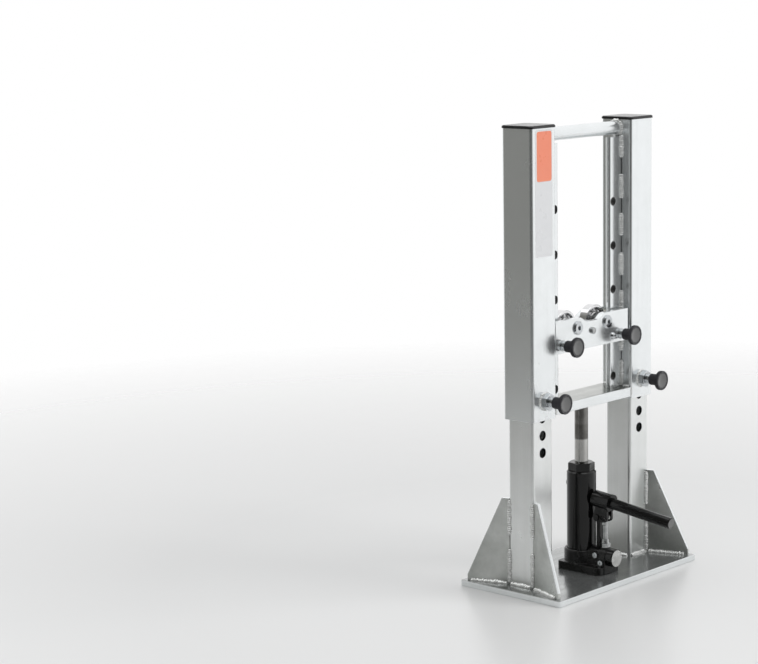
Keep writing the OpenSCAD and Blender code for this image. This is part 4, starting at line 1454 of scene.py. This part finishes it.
@dataclass
class BottleJack:
    """Bottle jack: casting, reservoir, ram, pump, lever and release valve with bare end faces."""

    knob_front: float = -74.0
    handle_end: float = -172.0
    dresses: dict[str, Dress] = field(default_factory=lambda: {
        "jack_base": Dress(CAST_ENAMEL, 1.0, edge=Edge.CAST),
        "jack_reservoir": Dress(ENAMEL, 0.5),
        "jack_cylinder": Dress(FASTENER, 0.3),
        "jack_top_nut": Dress(ENAMEL, 0.5),
        "jack_ram": Dress(RAM, 0.4),
        "ram_seal": Dress(RUBBER, edge=Edge.PLAIN),
        "oil_plug": Dress(RUBBER, 0.3),
        "pump_barrel": Dress(FASTENER, 0.3),
        "pump_piston": Dress(FASTENER, 0.2),
        "pump_seal": Dress(RUBBER, edge=Edge.PLAIN),
        "piston_pin": Dress(ENAMEL, 0.3),
        "fulcrum_post": Dress(ENAMEL, 0.4),
        "fulcrum_pin": Dress(ENAMEL, 0.3),
        "valve_plugs": Dress(FITTING, 0.25),
        "pump_lever": Dress(ENAMEL, 0.8),
        "release_screw": Dress(FITTING, 0.2),
    })

    def build(self, dresser: NodeDresser) -> None:
        """Dress the nodes.

        Args:
            dresser: Shows the nodes.
        """
        dresser.dress_all(self.dresses)
        knob = Dress(ENAMEL, 0.4, TURNED, fronting(self.knob_front))
        dresser.dress("release_knob", knob)
        handle = Dress(ENAMEL, 0.4, CUT_END, fronting(self.handle_end))
        dresser.dress("pump_handle", handle)


@dataclass(frozen=True)
class PhotoCamera:
    """Camera at the photograph's station, fitted in the part's frame, with angles in degrees."""

    place: Point = (-2749.7, -2113.8, 965.7)
    yaw: float = 47.077
    pitch: float = -9.182
    roll: float = -0.995
    focal_px: float = 2161.4
    frame_px: float = 758.0
    sensor: float = 36.0
    sight: float = 60.0

    def build(self) -> None:
        """Create the camera and make it the scene's own."""
        yaw, pitch, roll = (math.radians(a) for a in (self.yaw, self.pitch, self.roll))
        level = math.cos(pitch)
        ahead = Vector((math.sin(yaw) * level, math.cos(yaw) * level, math.sin(pitch)))
        right = Vector((math.cos(yaw), -math.sin(yaw), 0.0))
        up = right.cross(ahead)
        across = right * math.cos(roll) + up * math.sin(roll)
        upright_way = up * math.cos(roll) - right * math.sin(roll)
        lens = bpy.data.cameras.new("photo_camera")
        lens.sensor_width = self.sensor
        lens.lens = self.focal_px * self.sensor / self.frame_px
        lens.clip_end = self.sight
        camera = placed("photo_camera", lens)
        turn = Matrix((across, upright_way, -ahead)).transposed().to_4x4()
        camera.matrix_world = Matrix.Translation(Vector(self.place) * MM) @ turn
        bpy.context.scene.camera = camera


@dataclass(frozen=True)
class Lamp:
    """One square soft lamp, in metres and watts; gloss mirrors it or not."""

    name: str
    place: Point
    size: float
    watts: float
    mirrored: bool = False

    def build(self, aim: Point) -> None:
        """Hang the lamp.

        Args:
            aim: The point that it faces.
        """
        lamp = bpy.data.lights.new(self.name, "AREA")
        lamp.shape = "SQUARE"
        lamp.size = self.size
        lamp.energy = self.watts
        light = placed(self.name, lamp)
        light.location = self.place
        light.visible_glossy = self.mirrored
        light.rotation_mode = "QUATERNION"
        light.rotation_quaternion = (Vector(aim) - Vector(self.place)).to_track_quat("-Z", "Y")


@dataclass(frozen=True)
class Studio:
    """White studio in metres: a pale floor that fades out, a bright and a dim side, soft lamps.

    The glow's stops go from straight away from the bright side, -1, to straight towards it, 1.
    """

    bright_side: Point = (0.85, 0.10, 0.0)
    glow: tuple[tuple[float, Colour], ...] = (
        (-1.0, (0.155, 0.155, 0.143)), (-0.62, (0.202, 0.20, 0.184)),
        (-0.35, (0.41, 0.41, 0.395)), (0.0, (0.88, 0.89, 0.89)), (0.30, grey(1.0)),
    )
    dim_side: Point = (-0.79, -0.61, 0.0)
    dim_span: Span = (0.28, 0.86)
    dim_share: float = 0.74
    dim_tone: Colour = grey(0.02)
    sky: Colour = (0.97, 0.985, 1.0)
    sky_strength: float = 0.42
    floor_r: float = 2.6
    floor_steps: int = 96
    floor_fade: Span = (0.7, 2.34)
    floor_tone: Colour = (0.78, 0.78, 0.775)
    floor_rough: float = 0.30
    aim: Point = (0.0, 0.0, 0.3)
    lamps: tuple[Lamp, ...] = (
        Lamp("key", (1.6, -2.6, 2.6), 2.2, 62.0),
        Lamp("top", (-0.4, 0.2, 3.2), 3.4, 36.0, mirrored=True),
        Lamp("fill", (-3.0, -0.6, 1.8), 2.0, 14.0),
    )

    def build(self) -> None:
        """Make the world, the floor and the lamps."""
        bpy.context.scene.view_settings.view_transform = "Standard"
        self._world()
        self._floor()
        for lamp in self.lamps:
            lamp.build(self.aim)

    def _world(self) -> None:
        """Make a world that lights evenly and that camera, gloss and glass see as the studio."""
        world = bpy.data.worlds.new("studio")
        bpy.context.scene.world = world
        world.use_nodes = True
        graph = Graph(world.node_tree)
        sight = graph.add("ShaderNodeTexCoord").outputs["Generated"]
        bright, dark = (
            graph.vector("DOT_PRODUCT", sight, Vector(way).normalized())
            for way in (self.bright_side, self.dim_side)
        )
        stops = [((1.0 + facing) / 2.0, tone) for facing, tone in self.glow]
        glow = graph.ramp(graph.span(bright, -1.0, 1.0), stops)
        dimmed = graph.span(dark, *self.dim_span, 0.0, self.dim_share)
        glow = graph.blend(dimmed, glow, self.dim_tone)
        rays = graph.add("ShaderNodeLightPath").outputs
        glow = graph.blend(rays["Is Camera Ray"], glow, grey(1.0))
        seen = graph.first("ShaderNodeBackground", {"Color": glow, "Strength": 1.0})
        even = {"Color": (*self.sky, 1.0), "Strength": self.sky_strength}
        lit = graph.first("ShaderNodeBackground", even)
        direct = graph.math("MAXIMUM", rays["Is Camera Ray"], rays["Is Glossy Ray"])
        direct = graph.math("MAXIMUM", direct, rays["Is Transmission Ray"])
        both = graph.first("ShaderNodeMixShader", {0: direct, 1: lit, 2: seen})
        graph.add("ShaderNodeOutputWorld", {"Surface": both})

    def _floor(self) -> None:
        """Make the floor: a round sheet, faintly glossy, that fades out towards its rim."""
        mesh = bpy.data.meshes.new("floor")
        with edited(mesh) as bm:
            size = {"segments": self.floor_steps, "radius": self.floor_r}
            bmesh.ops.create_circle(bm, cap_ends=True, **size)
        material = bpy.data.materials.new("floor")
        material.use_nodes = True
        graph = Graph(material.node_tree)
        reach = graph.vector("LENGTH", graph.add("ShaderNodeTexCoord").outputs["Object"])
        tone = {"Base Color": (*self.floor_tone, 1.0), "Roughness": self.floor_rough}
        paint = graph.first("ShaderNodeBsdfPrincipled", tone)
        clear = graph.first("ShaderNodeBsdfTransparent")
        fade = graph.span(reach, *self.floor_fade)
        sheet = graph.first("ShaderNodeMixShader", {0: fade, 1: paint, 2: clear})
        graph.add("ShaderNodeOutputMaterial", {"Surface": sheet})
        mesh.materials.append(material)
        placed("floor", mesh)


def main() -> None:
    """Build the camera, the studio and every sub-assembly in order."""
    logging.basicConfig(level=logging.INFO, format="%(name)s: %(message)s")
    PhotoCamera().build()
    Studio().build()
    dresser = NodeDresser(frame["record"])
    welds = WeldBeads()
    Stand().build(dresser, welds)
    LiftingFrame().build(dresser, welds)
    Carriage().build(dresser)
    Plungers().build(dresser, Threads())
    BottleJack().build(dresser)


if __name__ == "__main__":
    main()
